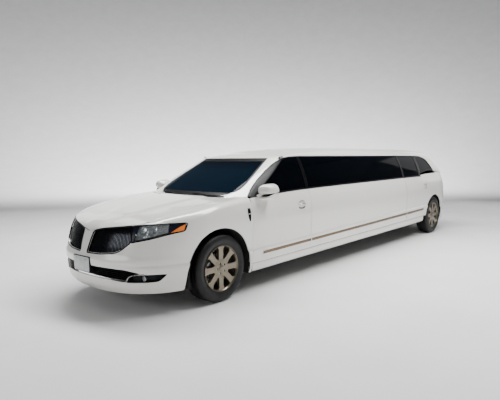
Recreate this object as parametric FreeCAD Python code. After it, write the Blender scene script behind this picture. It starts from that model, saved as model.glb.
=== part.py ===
"""A six-window stretch limousine on a lengthened crossover body, at full size in millimetres.

X points forward, Y to the car's left and Z up.  The ground is Z = 0.  Every shape is first laid out from
the front axle (X = 0 there); export() then shifts it, so that the finished car's origin is the middle of
its box on the ground.  Distances behind the rear axle are written rear(d), with d positive rearwards.

The body is a stack of waterlines: horizontal outlines, each with a curved nose, straight flanks and a
curved tail.  LOWER holds those below the windows, UPPER those of the cabin.  Two crowns, arched
across the car, close them off: the bonnet with the belt line, and the roof.  Walls are the outer stack
less the same stack set in by the wall's thickness, and panels are cut from the walls along the real
shut lines.
"""
import FreeCAD
import Part
import math
import os

os.makedirs("parts", exist_ok=True)
Vec = FreeCAD.Vector

# ---------------------------------------------------------------- driving dimensions
BASE_WHEELBASE = 2995.0      # the car before it was cut in two
STRETCH = 3048.0             # the 120 inch section let in behind the front doors
WHEELBASE = BASE_WHEELBASE + STRETCH
FRONT_OVERHANG = 1100.0      # front axle to bumper
REAR_OVERHANG = 1178.0       # rear axle to bumper
HALF_WIDTH = 965.0           # centre plane to the widest flank
TRACK = 1655.0               # between tyre centres
PLATE_FACE = FRONT_OVERHANG + 8.0                     # front of the number plate, the foremost point

TYRE_RADIUS = 370.0
TYRE_WIDTH = 235.0
RIM_RADIUS = 241.0           # bead seat of a 19 inch wheel
LIP_RADIUS = 258.0           # rim flange
ARCH_RADIUS = 420.0          # wheel arch edge
HOUSE_RADIUS = 455.0         # wheelhouse, clear of the steered tyre
STEER_AXIS_Y = 765.0         # kingpin, from the centre plane

SKIN = 25.0                  # wings, bumpers and bonnet with their stiffening
DOOR_WALL = 75.0             # doors and body sides below the windows
PILLAR_WALL = 40.0           # window frames, pillars and roof
GLASS = 5.0
GLASS_INSET = 6.0            # glass face behind the frame's outer face
SHUT_GAP = 7.0               # between panels
SWING_GAP = 14.0             # behind a door's trailing edge, which swings on an arc
CLEAR = 0.3                  # between pieces that are seated on each other

PIN_FIT = 0.05               # radial clearance of a pin in its bore
HINGE_PIN, HINGE_BARREL = 3.5, 6.0
HINGE_IN = 9.0               # a door's or liftgate's axis, in from its leading edge and from its skin
DOOR_AXIS_Y = HALF_WIDTH - HINGE_IN
DOOR_HINGES = [(452.0, 476.0), (798.0, 822.0)]        # heights of the barrels
COWL_DROP = 45.0             # cowl below the bonnet's rear edge, which swings down and back over it
COWL_PLATE = 15.0
COWL_LAP = 20.0              # cowl under the bonnet's rear edge
BULKHEAD = (-470.0, -445.0)
BONNET_AXIS = (-405.0, 1040.0)                        # X, Z
COWL_GAP = 22.0              # behind the bonnet, whose rear edge swings back as it rises

CUT = 3000.0                 # reach of a cutting prism


def rear(d):
    """X of a point d millimetres behind the rear axle."""
    return -WHEELBASE - d


# ---------------------------------------------------------------- body outlines
# columns: height, nose X, half width, tail distance behind the rear axle
LOWER = [
    (190, FRONT_OVERHANG - 112, HALF_WIDTH - 65, REAR_OVERHANG - 90),
    (300, FRONT_OVERHANG - 35, HALF_WIDTH - 20, REAR_OVERHANG - 25),
    (485, FRONT_OVERHANG - 3, HALF_WIDTH, REAR_OVERHANG),
    (515, FRONT_OVERHANG, HALF_WIDTH - 14, REAR_OVERHANG),
    (600, FRONT_OVERHANG - 15, HALF_WIDTH - 9, REAR_OVERHANG - 3),
    (700, FRONT_OVERHANG - 52, HALF_WIDTH - 3, REAR_OVERHANG - 15),
    (810, FRONT_OVERHANG - 95, HALF_WIDTH, REAR_OVERHANG - 40),
    (900, FRONT_OVERHANG - 150, HALF_WIDTH - 4, REAR_OVERHANG - 45),
    (1040, FRONT_OVERHANG - 250, HALF_WIDTH - 27, REAR_OVERHANG - 52),
    (1150, FRONT_OVERHANG - 350, HALF_WIDTH - 62, REAR_OVERHANG - 85),
    (1260, FRONT_OVERHANG - 450, HALF_WIDTH - 95, REAR_OVERHANG - 160),
]
# columns: height, windscreen X on the centre plane, half width, tail distance behind the rear axle
UPPER = [
    (1040, -240, HALF_WIDTH - 42, REAR_OVERHANG - 90),
    (1180, -490, HALF_WIDTH - 83, REAR_OVERHANG - 135),
    (1300, -702, HALF_WIDTH - 120, REAR_OVERHANG - 225),
    (1420, -917, HALF_WIDTH - 168, REAR_OVERHANG - 318),
    (1545, -1140, HALF_WIDTH - 230, REAR_OVERHANG - 415),
    (1730, -1450, HALF_WIDTH - 352, REAR_OVERHANG - 560),
]
NOSE_START = 100.0           # X where the flanks begin to close towards the nose
TAIL_START = 228.0           # distance behind the rear axle where they begin to close towards the tail
SCREEN_DEPTH = 270.0         # windscreen's sweep from centre plane to pillar
HATCH_DEPTH = 620.0          # sweep of the cabin's tail
NOSE_POWER, TAIL_POWER, SCREEN_POWER = 2.5, 2.5, 3.0

# columns: X, height on the centre plane, height at CROWN_SPAN
CROWN_SPAN = 965.0
BONNET_CROWN = [
    (FRONT_OVERHANG + 60, 760, 560),
    (FRONT_OVERHANG - 100, 838, 680),
    (FRONT_OVERHANG - 200, 880, 765),
    (FRONT_OVERHANG - 400, 936, 850),
    (470, 990, 908),
    (200, 1042, 978),
    (0, 1072, 1025),
    (-330, 1110, 1080),
    (-478, 1128, 1100),
    (-640, 1140, 1112),
]
BELT_LINE = [
    (-478, 1100),
    (-1650, 1140),
    (rear(-1343), 1168),
    (rear(-610), 1172),
    (rear(-530), 1205),
    (rear(221), 1222),
    (rear(900), 1190),
    (rear(REAR_OVERHANG + 60), 1150),
]
# columns: X, height on the centre plane, height at ROOF_SPAN
ROOF_SPAN = 700.0
ROOF_CROWN = [
    (-300, 1330, 1310),
    (-900, 1500, 1475),
    (-1140, 1560, 1530),
    (-1300, 1603, 1564),
    (-1600, 1648, 1598),
    (-2000, 1678, 1618),
    (-2600, 1702, 1636),
    (-3300, 1712, 1644),
    (rear(-500), 1712, 1644),
    (rear(-200), 1704, 1638),
    (rear(150), 1684, 1622),
    (rear(450), 1650, 1596),
    (rear(720), 1604, 1556),
    (rear(REAR_OVERHANG), 1490, 1450),
]

# ---------------------------------------------------------------- shut lines and windows
DOOR_BOTTOM = 345.0
SILL_TOP = DOOR_BOTTOM - SHUT_GAP
SILL_BOTTOM = 235.0
DOOR_TOP = 1585.0
FRONT_DOOR_X = (-478.0, -1650.0)                  # leading and trailing edges
REAR_DOOR_X = rear(-1343)                         # leading edge
FRONT_DOOR = [(-478, DOOR_BOTTOM), (-478, 1109), (-1262, 1535), (-1400, 1566), (-1650, DOOR_TOP),
              (-1650, DOOR_BOTTOM)]
REAR_DOOR = [(REAR_DOOR_X, DOOR_BOTTOM), (REAR_DOOR_X, DOOR_TOP), (rear(-563), DOOR_TOP - 6),
             (rear(-563), 1300), (rear(-545), 1225), (rear(-385), 1150), (rear(-343), 1060),
             (rear(-340), 850), (rear(-480), 600), (rear(-540), DOOR_BOTTOM)]
FRONT_GLASS = [(-545, 1116), (-1285, 1510), (-1400, 1538), (-1616, 1556), (-1616, 1150)]
STRETCH_GLASS = [(-1700, 1152), (-1700, 1558), (rear(-1393), 1558), (rear(-1393), 1178)]
REAR_GLASS = [(rear(-1307), 1180), (rear(-1307), 1556), (rear(-597), 1548), (rear(-597), 1232),
              (rear(-650), 1186)]
QUARTER_GLASS = [
    (rear(-535), 1222), (rear(-535), 1525), (rear(-113), 1440), (rear(190), 1262), (rear(205), 1238),
]
SCREEN_OPENING = [(-738, 1092), (738, 1092), (618, 1540), (-618, 1540)]         # Y, Z
HATCH = [(-560, 640), (560, 640), (640, 960), (640, 1180), (560, 1500), (560, 1720),
         (-560, 1720), (-560, 1500), (-640, 1180), (-640, 960)]                  # Y, Z
HATCH_FRONT = rear(540)                                                          # its leading edge, X
HATCH_AXIS = (HATCH_FRONT - HINGE_IN, 1622.0)                                   # X, Z
HATCH_HINGES = [(168.0, 192.0), (-192.0, -168.0)]                                # Y of the barrels
HATCH_GAP = 12.0                                                                 # ahead of its leading edge
HATCH_GLASS = [(-530, 1235), (530, 1235), (470, 1530), (-470, 1530)]             # Y, Z

# front end openings, left half, as Y and Z
LAMP_TOP = [(0, 812), (85, 828), (370, 876), (640, 903), (1100, 910)]            # bonnet and wing above it
GRILLE_WING = [(62, 600), (450, 618), (535, 655), (600, 722), (648, 893), (370, 866), (105, 820), (90, 800)]
HEADLAMP = [(612, 735), (770, 780), (890, 818), (960, 826), (960, 902), (678, 902)]
INTAKE = [(0, 325), (530, 345), (585, 400), (690, 440), (560, 486), (0, 476)]
FOG_POCKET = [(570, 340), (800, 352), (862, 430), (745, 426), (665, 400), (612, 376)]
WING_SEAM = [(FRONT_OVERHANG + 200, 0), (FRONT_OVERHANG + 200, 905), (455, 905), (455, 815),
             (350, 600), (350, 0)]               # side view outline of the bumper's zone, X and Z
COWL_HALF = 735.0
BONNET_REAR = [(-225, 0), (-240, 300), (-270, 520), (-310, 660), (-345, COWL_HALF - 5)]            # X, Y
BONNET_PLAN = BONNET_REAR + [(300, 712), (700, 668), (830, 640),
               (FRONT_OVERHANG + 100, 640), (FRONT_OVERHANG + 100, 0)]           # X, Y left half

TAIL_LAMP = [(650, 870), (1000, 840), (1000, 985), (650, 985)]                   # Y, Z left half
REAR_BUMPER_TOP = 640.0


# ---------------------------------------------------------------- helpers
def polygon(points):
    """A flat face through points given as vectors."""
    return Part.Face(Part.makePolygon(points + [points[0]]))


def prism_side(outline, y0, y1):
    """A side view outline of X and Z, run across the car from y0 to y1."""
    return polygon([Vec(x, y0, z) for x, z in outline]).extrude(Vec(0, y1 - y0, 0))


def prism_front(outline, x0, x1):
    """A front view outline of Y and Z, run along the car from x0 to x1."""
    return polygon([Vec(x0, y, z) for y, z in outline]).extrude(Vec(x1 - x0, 0, 0))


def prism_plan(outline, z0, z1):
    """A plan outline of X and Y, run up from z0 to z1."""
    return polygon([Vec(x, y, z0) for x, y in outline]).extrude(Vec(0, 0, z1 - z0))


def box(x, y, z):
    """A box from three pairs of limits, in either order."""
    low, high = zip(*(sorted(span) for span in (x, y, z)))
    return Part.makeBox(*[b - a for a, b in zip(low, high)], Vec(*low))


def rod(start, end, radius):
    """A round bar between two points."""
    axis = Vec(*end) - Vec(*start)
    return Part.makeCylinder(radius, axis.Length, Vec(*start), axis)


def disc(x, z, radius, y0, y1):
    """A cylinder across the car."""
    return Part.makeCylinder(radius, y1 - y0, Vec(x, y0, z), Vec(0, 1, 0))


def mirror(shape):
    """The same piece on the car's right side."""
    return shape.mirror(Vec(0, 0, 0), Vec(0, 1, 0))


def both(shape):
    """A piece with its twin on the other side."""
    return Part.Compound(solids_of(shape) + solids_of(mirror(shape)))


def grown(outline, distance):
    """An outline moved out (or in, if negative) all round by a distance, corners kept sharp."""
    count = len(outline)
    area = sum(outline[k][0] * outline[(k + 1) % count][1] - outline[(k + 1) % count][0] * outline[k][1]
               for k in range(count))
    turn = 1.0 if area > 0 else -1.0
    found = []
    for k in range(count):
        (ax, ay), (bx, by), (cx, cy) = outline[k - 1], outline[k], outline[(k + 1) % count]
        d1, d2 = math.hypot(bx - ax, by - ay), math.hypot(cx - bx, cy - by)
        n1 = ((by - ay) / d1 * turn, -(bx - ax) / d1 * turn)
        n2 = ((cy - by) / d2 * turn, -(cx - bx) / d2 * turn)
        scale = distance / (1.0 + n1[0] * n2[0] + n1[1] * n2[1])
        found.append((bx + (n1[0] + n2[0]) * scale, by + (n1[1] + n2[1]) * scale))
    return found


def solids_of(shape):
    """The solids in a shape, largest first, without specks."""
    found = sorted(shape.Solids, key=lambda s: -s.Volume)
    return [s for s in found if s.Volume > 500.0]


def fuse(first, *others):
    """One solid from pieces that touch, with the seams between coplanar faces removed."""
    return first.fuse(list(others)).removeSplitter()


def curve_points(start_x, tip_x, half, power):
    """Five points from the centre plane to the flank on the curve |x|^p + |y|^p = 1."""
    found = []
    for k in range(5):
        angle = math.pi / 2 * k / 4
        reach = math.cos(angle) ** (2 / power) if k < 4 else 0.0
        side = math.sin(angle) ** (2 / power)
        found.append((start_x + (tip_x - start_x) * reach, half * side))
    return found


def waterline(z, nose_x, half, tail_x, nose_start, tail_start, nose_power, tail_power):
    """One closed outline at height z: nose arcs, a straight flank and tail arcs on each side."""
    nose = curve_points(nose_start, nose_x, half, nose_power)
    tail = curve_points(tail_start, tail_x, half, tail_power)[::-1]
    edges = []
    for sign in (1, -1):
        a, b = ([Vec(x, sign * y, z) for x, y in end] for end in (nose, tail))
        run = [Part.Arc(a[0], a[1], a[2]).toShape(), Part.Arc(a[2], a[3], a[4]).toShape(),
               Part.makeLine(a[4], b[0]),
               Part.Arc(b[0], b[1], b[2]).toShape(), Part.Arc(b[2], b[3], b[4]).toShape()]
        edges += run if sign > 0 else run[::-1]
    return Part.Wire(Part.__sortEdges__(edges))


def lower_stack(inset):
    """The body below the windows, set in by inset all round."""
    lines = []
    for z, nose_x, half, tail in LOWER:
        lines.append(waterline(z, nose_x - inset, half - inset, rear(tail) + inset,
                               min(NOSE_START, nose_x - inset - 100), rear(TAIL_START), NOSE_POWER, TAIL_POWER))
    return Part.makeLoft(lines, True, True)


def upper_stack(inset):
    """The cabin, set in by inset all round."""
    lines = []
    for z, screen_x, half, tail in UPPER:
        lines.append(waterline(z, screen_x - inset * 1.4, half - inset, rear(tail) + inset,
                               screen_x - inset - SCREEN_DEPTH, rear(tail - HATCH_DEPTH), SCREEN_POWER,
                               TAIL_POWER))
    return Part.makeLoft(lines, True, True)


def crown_solid(rows, span, drop_to, lower_by):
    """Everything below an arched surface. Each row is X, centre height and height at the span."""
    sections = []
    for x, centre, edge in rows:
        slope = (centre - edge) / span ** 2
        outer = 1300.0
        far = centre - slope * outer ** 2 - lower_by
        left, right = Vec(x, outer, far), Vec(x, -outer, far)
        top = Vec(x, 0, centre - lower_by)
        arch = Part.Arc(left, top, right).toShape() if slope > 0 else Part.makeLine(left, right)
        floor_left, floor_right = Vec(x, outer, drop_to), Vec(x, -outer, drop_to)
        sections.append(Part.Wire([arch, Part.makeLine(right, floor_right),
                                   Part.makeLine(floor_right, floor_left), Part.makeLine(floor_left, left)]))
    return Part.makeLoft(sections, True, True)


def export(node, shape):
    """Shifts a piece so that the origin is the middle of the car's box, and writes it."""
    parts = solids_of(shape)
    shape = parts[0] if len(parts) == 1 else Part.Compound(parts)
    moved = shape.copy()
    moved.translate(Vec((WHEELBASE + REAR_OVERHANG - PLATE_FACE) / 2, 0, 0))
    moved.exportStep("parts/%s.step" % node)
    print("%-28s solids %2d  volume %9.2f l  valid %s" % (node, len(parts), shape.Volume / 1e6, moved.isValid()))


# ---------------------------------------------------------------- the body's walls
bonnet_outer = crown_solid(BONNET_CROWN, CROWN_SPAN, 0.0, 0.0)
bonnet_inner = crown_solid(BONNET_CROWN, CROWN_SPAN, 0.0, SKIN)
cowl_top = crown_solid(BONNET_CROWN, CROWN_SPAN, 0.0, COWL_DROP)
cowl_under = crown_solid(BONNET_CROWN, CROWN_SPAN, 0.0, COWL_DROP + COWL_PLATE)
belt_solid = prism_side(BELT_LINE + [(BELT_LINE[-1][0], 0), (BELT_LINE[0][0], 0)], -CUT, CUT)
roof_outer = crown_solid(ROOF_CROWN, ROOF_SPAN, 900.0, 0.0)
roof_inner = crown_solid(ROOF_CROWN, ROOF_SPAN, 900.0, PILLAR_WALL)

lower_outer = lower_stack(0.0)
inner_skin = lower_stack(SKIN)
inner_door = lower_stack(DOOR_WALL)
front_shell = lower_outer.common(bonnet_outer).cut(inner_skin.common(bonnet_inner))
body_side = lower_outer.common(belt_solid)
side_wall = body_side.cut(inner_door)
tail_wall = body_side.cut(inner_skin)

upper_outer = upper_stack(0.0)
upper_inner = upper_stack(PILLAR_WALL)
wing_tops = bonnet_outer.cut(box((-CUT, CUT), (-COWL_HALF, COWL_HALF), (0, CUT)))
above_lids = box((-4 * CUT, CUT), (-CUT, CUT), (900, 2 * CUT)).cut(wing_tops).cut(cowl_top).cut(belt_solid)
cabin_wall = upper_outer.common(roof_outer).common(above_lids).cut(upper_inner.common(roof_inner))
glass_wall = upper_stack(GLASS_INSET).cut(upper_stack(GLASS_INSET + GLASS)).common(roof_outer)

LEFT = (300.0, CUT)                                   # reach of a left side cutter
front_arch = disc(0, TYRE_RADIUS, ARCH_RADIUS, 600, CUT)
rear_arch = disc(rear(0), TYRE_RADIUS, ARCH_RADIUS, 600, CUT)


# ---------------------------------------------------------------- doors and side panels
def door_shell(outline, window):
    """A framed door: the wall below the belt and the window frame above it, with its window cut."""
    zone = prism_side(outline, *LEFT)
    shell = side_wall.common(zone).fuse(cabin_wall.common(zone)).removeSplitter()
    return shell.cut(prism_side(window, *LEFT))


def pane(window):
    """A pane standing in its window with a hair's clearance all round."""
    return glass_wall.common(prism_side(grown(window, -CLEAR), *LEFT))


def post(x, y, z0, z1, radius):
    """An upright cylinder."""
    return Part.makeCylinder(radius, z1 - z0, Vec(x, y, z0))


def hung(shell, leading):
    """Rounds a door's leading edge about its axis and cuts its hinge pockets and bores."""
    x, y = leading - HINGE_IN, DOOR_AXIS_Y
    shell = shell.cut(box((x, x + 60), (y, CUT), (0, 1000)).cut(post(x, y, 0, 1000, HINGE_IN)))
    for z0, z1 in DOOR_HINGES:
        shell = shell.cut(box((x, x + 60), (y - 90, CUT), (z0 - 1, z1 + 1)))
        shell = shell.cut(post(x, y, z0 - 1, z1 + 1, HINGE_BARREL + 0.5))
        shell = shell.cut(post(x, y, z0 - 14, z1 + 14, HINGE_PIN + PIN_FIT))
    return shell


def door_hinges(leading):
    """The body's half of a door's hinges: leaf, barrel and pin, fixed to the panel ahead of the door."""
    x, y = leading - HINGE_IN, DOOR_AXIS_Y
    return [fuse(box((x, leading + SHUT_GAP), (y - HINGE_BARREL, y), (z0, z1)),
                 post(x, y, z0, z1, HINGE_BARREL), post(x, y, z0 - 12, z1 + 12, HINGE_PIN))
            for z0, z1 in DOOR_HINGES]


front_door = hung(door_shell(FRONT_DOOR, FRONT_GLASS), FRONT_DOOR_X[0])
rear_door = hung(door_shell(REAR_DOOR, REAR_GLASS).cut(rear_arch), REAR_DOOR_X)
front_pane, rear_pane = pane(FRONT_GLASS), pane(REAR_GLASS)


def door_gap(outline, leading):
    """The cutter that keeps neighbours off a door: wider behind its trailing edge."""
    wide = [(x - (SWING_GAP - SHUT_GAP if x < leading - 50 else 0), z) for x, z in outline]
    return prism_side(grown(wide, SHUT_GAP), *LEFT)


front_door_gap = door_gap(FRONT_DOOR, FRONT_DOOR_X[0])
rear_door_gap = door_gap(REAR_DOOR, REAR_DOOR_X)

left_wall = side_wall.cut(front_door_gap).cut(rear_door_gap)
panel_z = (SILL_TOP + CLEAR, 2 * CUT)
stretch_side = left_wall.common(box((REAR_DOOR_X, FRONT_DOOR_X[1]), LEFT, panel_z))
quarter_zone = box((rear(2000), rear(-620)), LEFT, panel_z)
sill = side_wall.common(box((rear(-540), FRONT_DOOR_X[0]), LEFT, (SILL_BOTTOM, SILL_TOP))).cut(front_arch)
sill = sill.cut(rear_arch)

hatch_zone = prism_front(HATCH, rear(2000), HATCH_FRONT)
hatch_gap = prism_front(grown(HATCH, SHUT_GAP), rear(2000), HATCH_FRONT + HATCH_GAP)
bumper_zone = box((rear(2000), rear(460)), (-CUT, CUT), (0, REAR_BUMPER_TOP))
tail_lamp_zone = prism_front(TAIL_LAMP, rear(2000), rear(REAR_OVERHANG - 330))
quarter = left_wall.common(quarter_zone).cut(hatch_gap).cut(rear_arch).cut(bumper_zone).cut(tail_lamp_zone)
tail_lamp = tail_wall.common(prism_front(grown(TAIL_LAMP, -CLEAR), rear(2000), rear(REAR_OVERHANG - 329)))
tail_lamp = tail_lamp.cut(hatch_gap)
rear_bumper = tail_wall.common(box((rear(2000), rear(460) - CLEAR), (-CUT, CUT), (0, REAR_BUMPER_TOP - CLEAR)))
rear_bumper = rear_bumper.cut(rear_arch).cut(mirror(rear_arch)).cut(hatch_gap)

liftgate = fuse(side_wall.common(hatch_zone), cabin_wall.common(hatch_zone))
hatch_glass_zone = prism_front(HATCH_GLASS, rear(2000), HATCH_FRONT)
liftgate = liftgate.cut(hatch_glass_zone)
hx, hz = HATCH_AXIS
liftgate = liftgate.cut(box((hx, hx + 60), (-CUT, CUT), (hz, CUT)).cut(disc(hx, hz, 13, -700, 700)))
hatch_hinges = []
for y0, y1 in HATCH_HINGES:
    liftgate = liftgate.cut(box((hx, hx + 60), (y0 - 1, y1 + 1), (hz - 90, CUT)))
    liftgate = liftgate.cut(disc(hx, hz, HINGE_BARREL + 0.5, y0 - 1, y1 + 1))
    liftgate = liftgate.cut(disc(hx, hz, HINGE_PIN + PIN_FIT, y0 - 14, y1 + 14))
    hatch_hinges.append(fuse(box((hx, HATCH_FRONT + HATCH_GAP), (y0, y1), (hz - HINGE_BARREL, hz)),
                             disc(hx, hz, HINGE_BARREL, y0, y1), disc(hx, hz, HINGE_PIN, y0 - 12, y1 + 12)))
hatch_pane = glass_wall.common(prism_front(grown(HATCH_GLASS, -CLEAR), rear(2000), HATCH_FRONT))

# ---------------------------------------------------------------- roof, pillars and fixed glass
roof_frame = cabin_wall.cut(hatch_gap).cut(box((-600, 0), (-COWL_HALF, COWL_HALF), (900, SCREEN_OPENING[0][1])))
for cutter in (front_door_gap, rear_door_gap, prism_side(STRETCH_GLASS, *LEFT), prism_side(QUARTER_GLASS, *LEFT)):
    roof_frame = roof_frame.cut(cutter).cut(mirror(cutter))
screen_zone = prism_front(SCREEN_OPENING, -1330, 200)
roof_frame = roof_frame.cut(screen_zone)
windscreen = glass_wall.common(prism_front(grown(SCREEN_OPENING, -CLEAR), -1330, 200)).common(above_lids)
stretch_pane, quarter_pane = pane(STRETCH_GLASS), pane(QUARTER_GLASS)

# ---------------------------------------------------------------- bonnet, wings and front bumper
bonnet_left = prism_plan(BONNET_PLAN, 0, CUT)
nose_reach = (440, FRONT_OVERHANG + 300)
below_lamps = prism_front(grown(LAMP_TOP + [(1100, -200), (-200, -200), (-200, 812)], SHUT_GAP), *nose_reach)
bonnet_half = front_shell.common(bonnet_left).common(box((-CUT, CUT), (0, CUT), (700, CUT))).cut(below_lamps)
bonnet = fuse(bonnet_half, mirror(bonnet_half))
bx, bz = BONNET_AXIS
GOOSENECK = [(92, 50), (132, 50), (100, -12), (0, -11), (0, 11), (66, 0)]        # X, Z from the axis
bonnet_arm = fuse(prism_side([(bx + x, bz + z) for x, z in GOOSENECK], 640, 655),
                  disc(bx, bz, 11, 640, 655)).cut(disc(bx, bz, 5 + PIN_FIT, 600, 700))
bonnet = fuse(bonnet, bonnet_arm, mirror(bonnet_arm))
bracket = fuse(prism_side([(bx, bz - 11), (bx, bz + 11), (-445, bz - 4), (-445, bz - 34)], 657, 680),
               disc(bx, bz, 11, 657, 680), disc(bx, bz, 5, 641, 657))

nose_zone = prism_side(WING_SEAM, 0, CUT)
under_lamps = prism_front(LAMP_TOP + [(1100, -200), (-200, -200), (-200, 812)], *nose_reach)
nose_half = front_shell.common(nose_zone).common(under_lamps).common(box((-CUT, CUT), (0, CUT), (0, 2000)))
wing = front_shell.common(box((FRONT_DOOR_X[0] + SHUT_GAP, CUT), (400, CUT), (0, CUT)))
inboard = [(-CUT, 0), (-CUT, COWL_HALF)] + BONNET_PLAN[len(BONNET_REAR) - 1:]
wing = wing.cut(prism_plan(grown(inboard, SHUT_GAP), 0, CUT)).cut(nose_zone.common(under_lamps)).cut(front_arch)
wing = wing.cut(box((-CUT, 0), LEFT, (0, SILL_BOTTOM))).cut(front_door_gap)
lamp_zone = prism_front(HEADLAMP, 440, CUT)
holes = [prism_front(outline, 300, CUT) for outline in (GRILLE_WING, INTAKE, FOG_POCKET)]
bumper_half = nose_half.cut(lamp_zone).cut(front_arch)
for hole in holes:
    bumper_half = bumper_half.cut(hole)
front_bumper = fuse(bumper_half, mirror(bumper_half))
headlamp = nose_half.common(prism_front(grown(HEADLAMP, -CLEAR), 440, CUT))
cowl = inner_skin.common(cowl_top).cut(cowl_under).common(box((BULKHEAD[0], 0), (-COWL_HALF, COWL_HALF), (0, CUT)))
under_bonnet = prism_plan(grown(BONNET_PLAN, -COWL_LAP), 0, CUT)
bonnet_clear = prism_plan(grown(BONNET_PLAN, COWL_GAP), 0, CUT)
cowl = cowl.cut(under_bonnet).cut(mirror(under_bonnet))
screen_base_zone = box((-600, 0), (-COWL_HALF, COWL_HALF), (900, SCREEN_OPENING[0][1]))
screen_base = cabin_wall.common(screen_base_zone)
for lid in (bonnet_clear, mirror(bonnet_clear)):
    screen_base = screen_base.cut(lid)
cowl = fuse(cowl, screen_base)
for side in (1, -1):
    cowl = cowl.cut(box((BULKHEAD[1], 0), (side * 630, side * 690), (0, CUT)))


# ---------------------------------------------------------------- lamps, grilles and plate
def barred(outline, step, bar, lengthwise):
    """A grille filling an opening in the nose: a frame with upright or level bars inside."""
    filling = nose_half.common(prism_front(grown(outline, -CLEAR), 300, CUT))
    frame = filling.cut(prism_front(grown(outline, -16), 300, CUT))
    low = min(p[0 if lengthwise else 1] for p in outline)
    high = max(p[0 if lengthwise else 1] for p in outline)
    bars = []
    for k in range(1, int((high - low) / step)):
        at = low + step * k
        span = ((at, at + bar), (0, CUT)) if lengthwise else ((0, CUT), (at, at + bar))
        bars.append(filling.common(box((300, CUT), *span)))
    return frame.fuse(bars).removeSplitter()


grille_half = barred(GRILLE_WING, 40, 12, True)
lower_half = barred(INTAKE, 32, 12, False)
lower_grille = fuse(lower_half, mirror(lower_half))
fog_lamp = nose_half.common(prism_front(grown(FOG_POCKET, -CLEAR), 300, CUT))
plate = box((FRONT_OVERHANG - 40, PLATE_FACE), (-152, 152), (410, 560)).cut(lower_outer)

# ---------------------------------------------------------------- underbody, one welded piece
HOUSE_WALL = 8.0
FLOOR = (290.0, 325.0)
RAIL_Y = (420.0, 480.0)
under_lid = inner_skin.common(bonnet_inner)
floor_plate = inner_door.common(box((rear(1080), BULKHEAD[1]), (-CUT, CUT), FLOOR))
bulkhead = inner_door.common(cowl_under).common(box(BULKHEAD, (-CUT, CUT), (FLOOR[0], CUT)))
apron = under_lid.common(box((BULKHEAD[1], 560), (COWL_HALF + SHUT_GAP, 770), (830, CUT)))
apron = apron.cut(disc(0, TYRE_RADIUS, HOUSE_RADIUS, 600, CUT))
rail = box((BULKHEAD[1], 925), RAIL_Y, (430, 520))
TOWER_FOOT = 842.0
tower = box((-80, 80), (470, 770), (TOWER_FOOT, 900)).common(under_lid)
tower = tower.fuse(box((-80, 80), (RAIL_Y[0], 500), (430, 900)))
beam = under_lid.common(box((830, 925), (-690, 690), (490, 570)))
radiator = box((700, 735), (-RAIL_Y[0], RAIL_Y[0]), (300, 760))
floor_pan = fuse(floor_plate, bulkhead)
front_frame = fuse(beam, radiator, *[w for p in (apron, rail, tower) for w in (p, mirror(p))])


def rear_house():
    """One rear wheelhouse: a half drum over the wheel, closed on its inner side."""
    drum = disc(rear(0), TYRE_RADIUS, HOUSE_RADIUS + HOUSE_WALL, 600, 892)
    drum = drum.common(box((rear(600), rear(-600)), LEFT, (FLOOR[0], CUT)))
    return drum.common(inner_door).cut(disc(rear(0), TYRE_RADIUS, HOUSE_RADIUS, 600 + HOUSE_WALL, CUT))


house = rear_house()
house_cut = disc(rear(0), TYRE_RADIUS, HOUSE_RADIUS, 600 + HOUSE_WALL, CUT)
floor_pan = floor_pan.cut(house_cut).cut(mirror(house_cut))
floor_pan = fuse(floor_pan, house, mirror(house))

engine = fuse(box((-150, 480), (-330, 330), (330, 820)), box((-120, 450), (-250, 250), (820, 900)),
              box((60, 200), (-RAIL_Y[0], RAIL_Y[0]), (440, 500)))
ARM = (-30.0, 30.0)
BALL_PIN = 12.0
arm = fuse(box(ARM, (RAIL_Y[0] - 60, 790), (200, 228)), box((-60, 60), (RAIL_Y[0] - 60, 470), (200, 430)),
           post(0, STEER_AXIS_Y, 228, 250, BALL_PIN))
strut = rod((0, 610, TOWER_FOOT - 3), (0, 640, 560), 24)
front_subframe = fuse(box((-60, 60), (-RAIL_Y[0], RAIL_Y[0]), (200, 260)), arm, mirror(arm))
AXLE_BEAM = (260.0, 290.0)
HUB_PIN = 30.0
carrier = fuse(box((rear(60), rear(-60)), (614, 690), (AXLE_BEAM[0], 430)),
               disc(rear(0), TYRE_RADIUS, 45, 614, 844), disc(rear(0), TYRE_RADIUS, HUB_PIN, 614, 883))
rear_subframe = fuse(box((rear(60), rear(-60)), (-690, 690), AXLE_BEAM), carrier, mirror(carrier))
exhaust = fuse(rod((rear(-900), 330, 222), (rear(720), 330, 222), 30), box((rear(960), rear(700)), (230, 430), (195, FLOOR[0])))
fuel_tank = box((rear(-1500), rear(-850)), (-600, 200), (215, FLOOR[0]))

# ---------------------------------------------------------------- cabin
DASH = [(BULKHEAD[0], 700), (BULKHEAD[0], 1040), (-640, 1080), (-860, 1030), (-930, 900), (-900, 640), (-700, 560)]
dashboard = prism_side(DASH, -800, 800)
console = box((-1250, BULKHEAD[0]), (-110, 110), (FLOOR[1], 620))
dashboard = fuse(dashboard, console)
CUSHION = [(-1180, 480), (-1220, 600), (-1700, 560), (-1700, 420), (-1240, 430)]
BACKREST = [(-1640, 520), (-1760, 540), (-1960, 1150), (-1880, 1180), (-1820, 1160)]


def seat(offset, y0, y1, height):
    """A seat: cushion, backrest and a plinth down to the floor."""
    cushion = prism_side([(x + offset, z + height) for x, z in CUSHION], y0, y1)
    back = prism_side([(x + offset, z + height) for x, z in BACKREST], y0, y1)
    plinth = box((offset - 1640, offset - 1260), (y0 + 60, y1 - 60), (FLOOR[1], 440 + height))
    return fuse(cushion, back, plinth)


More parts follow.
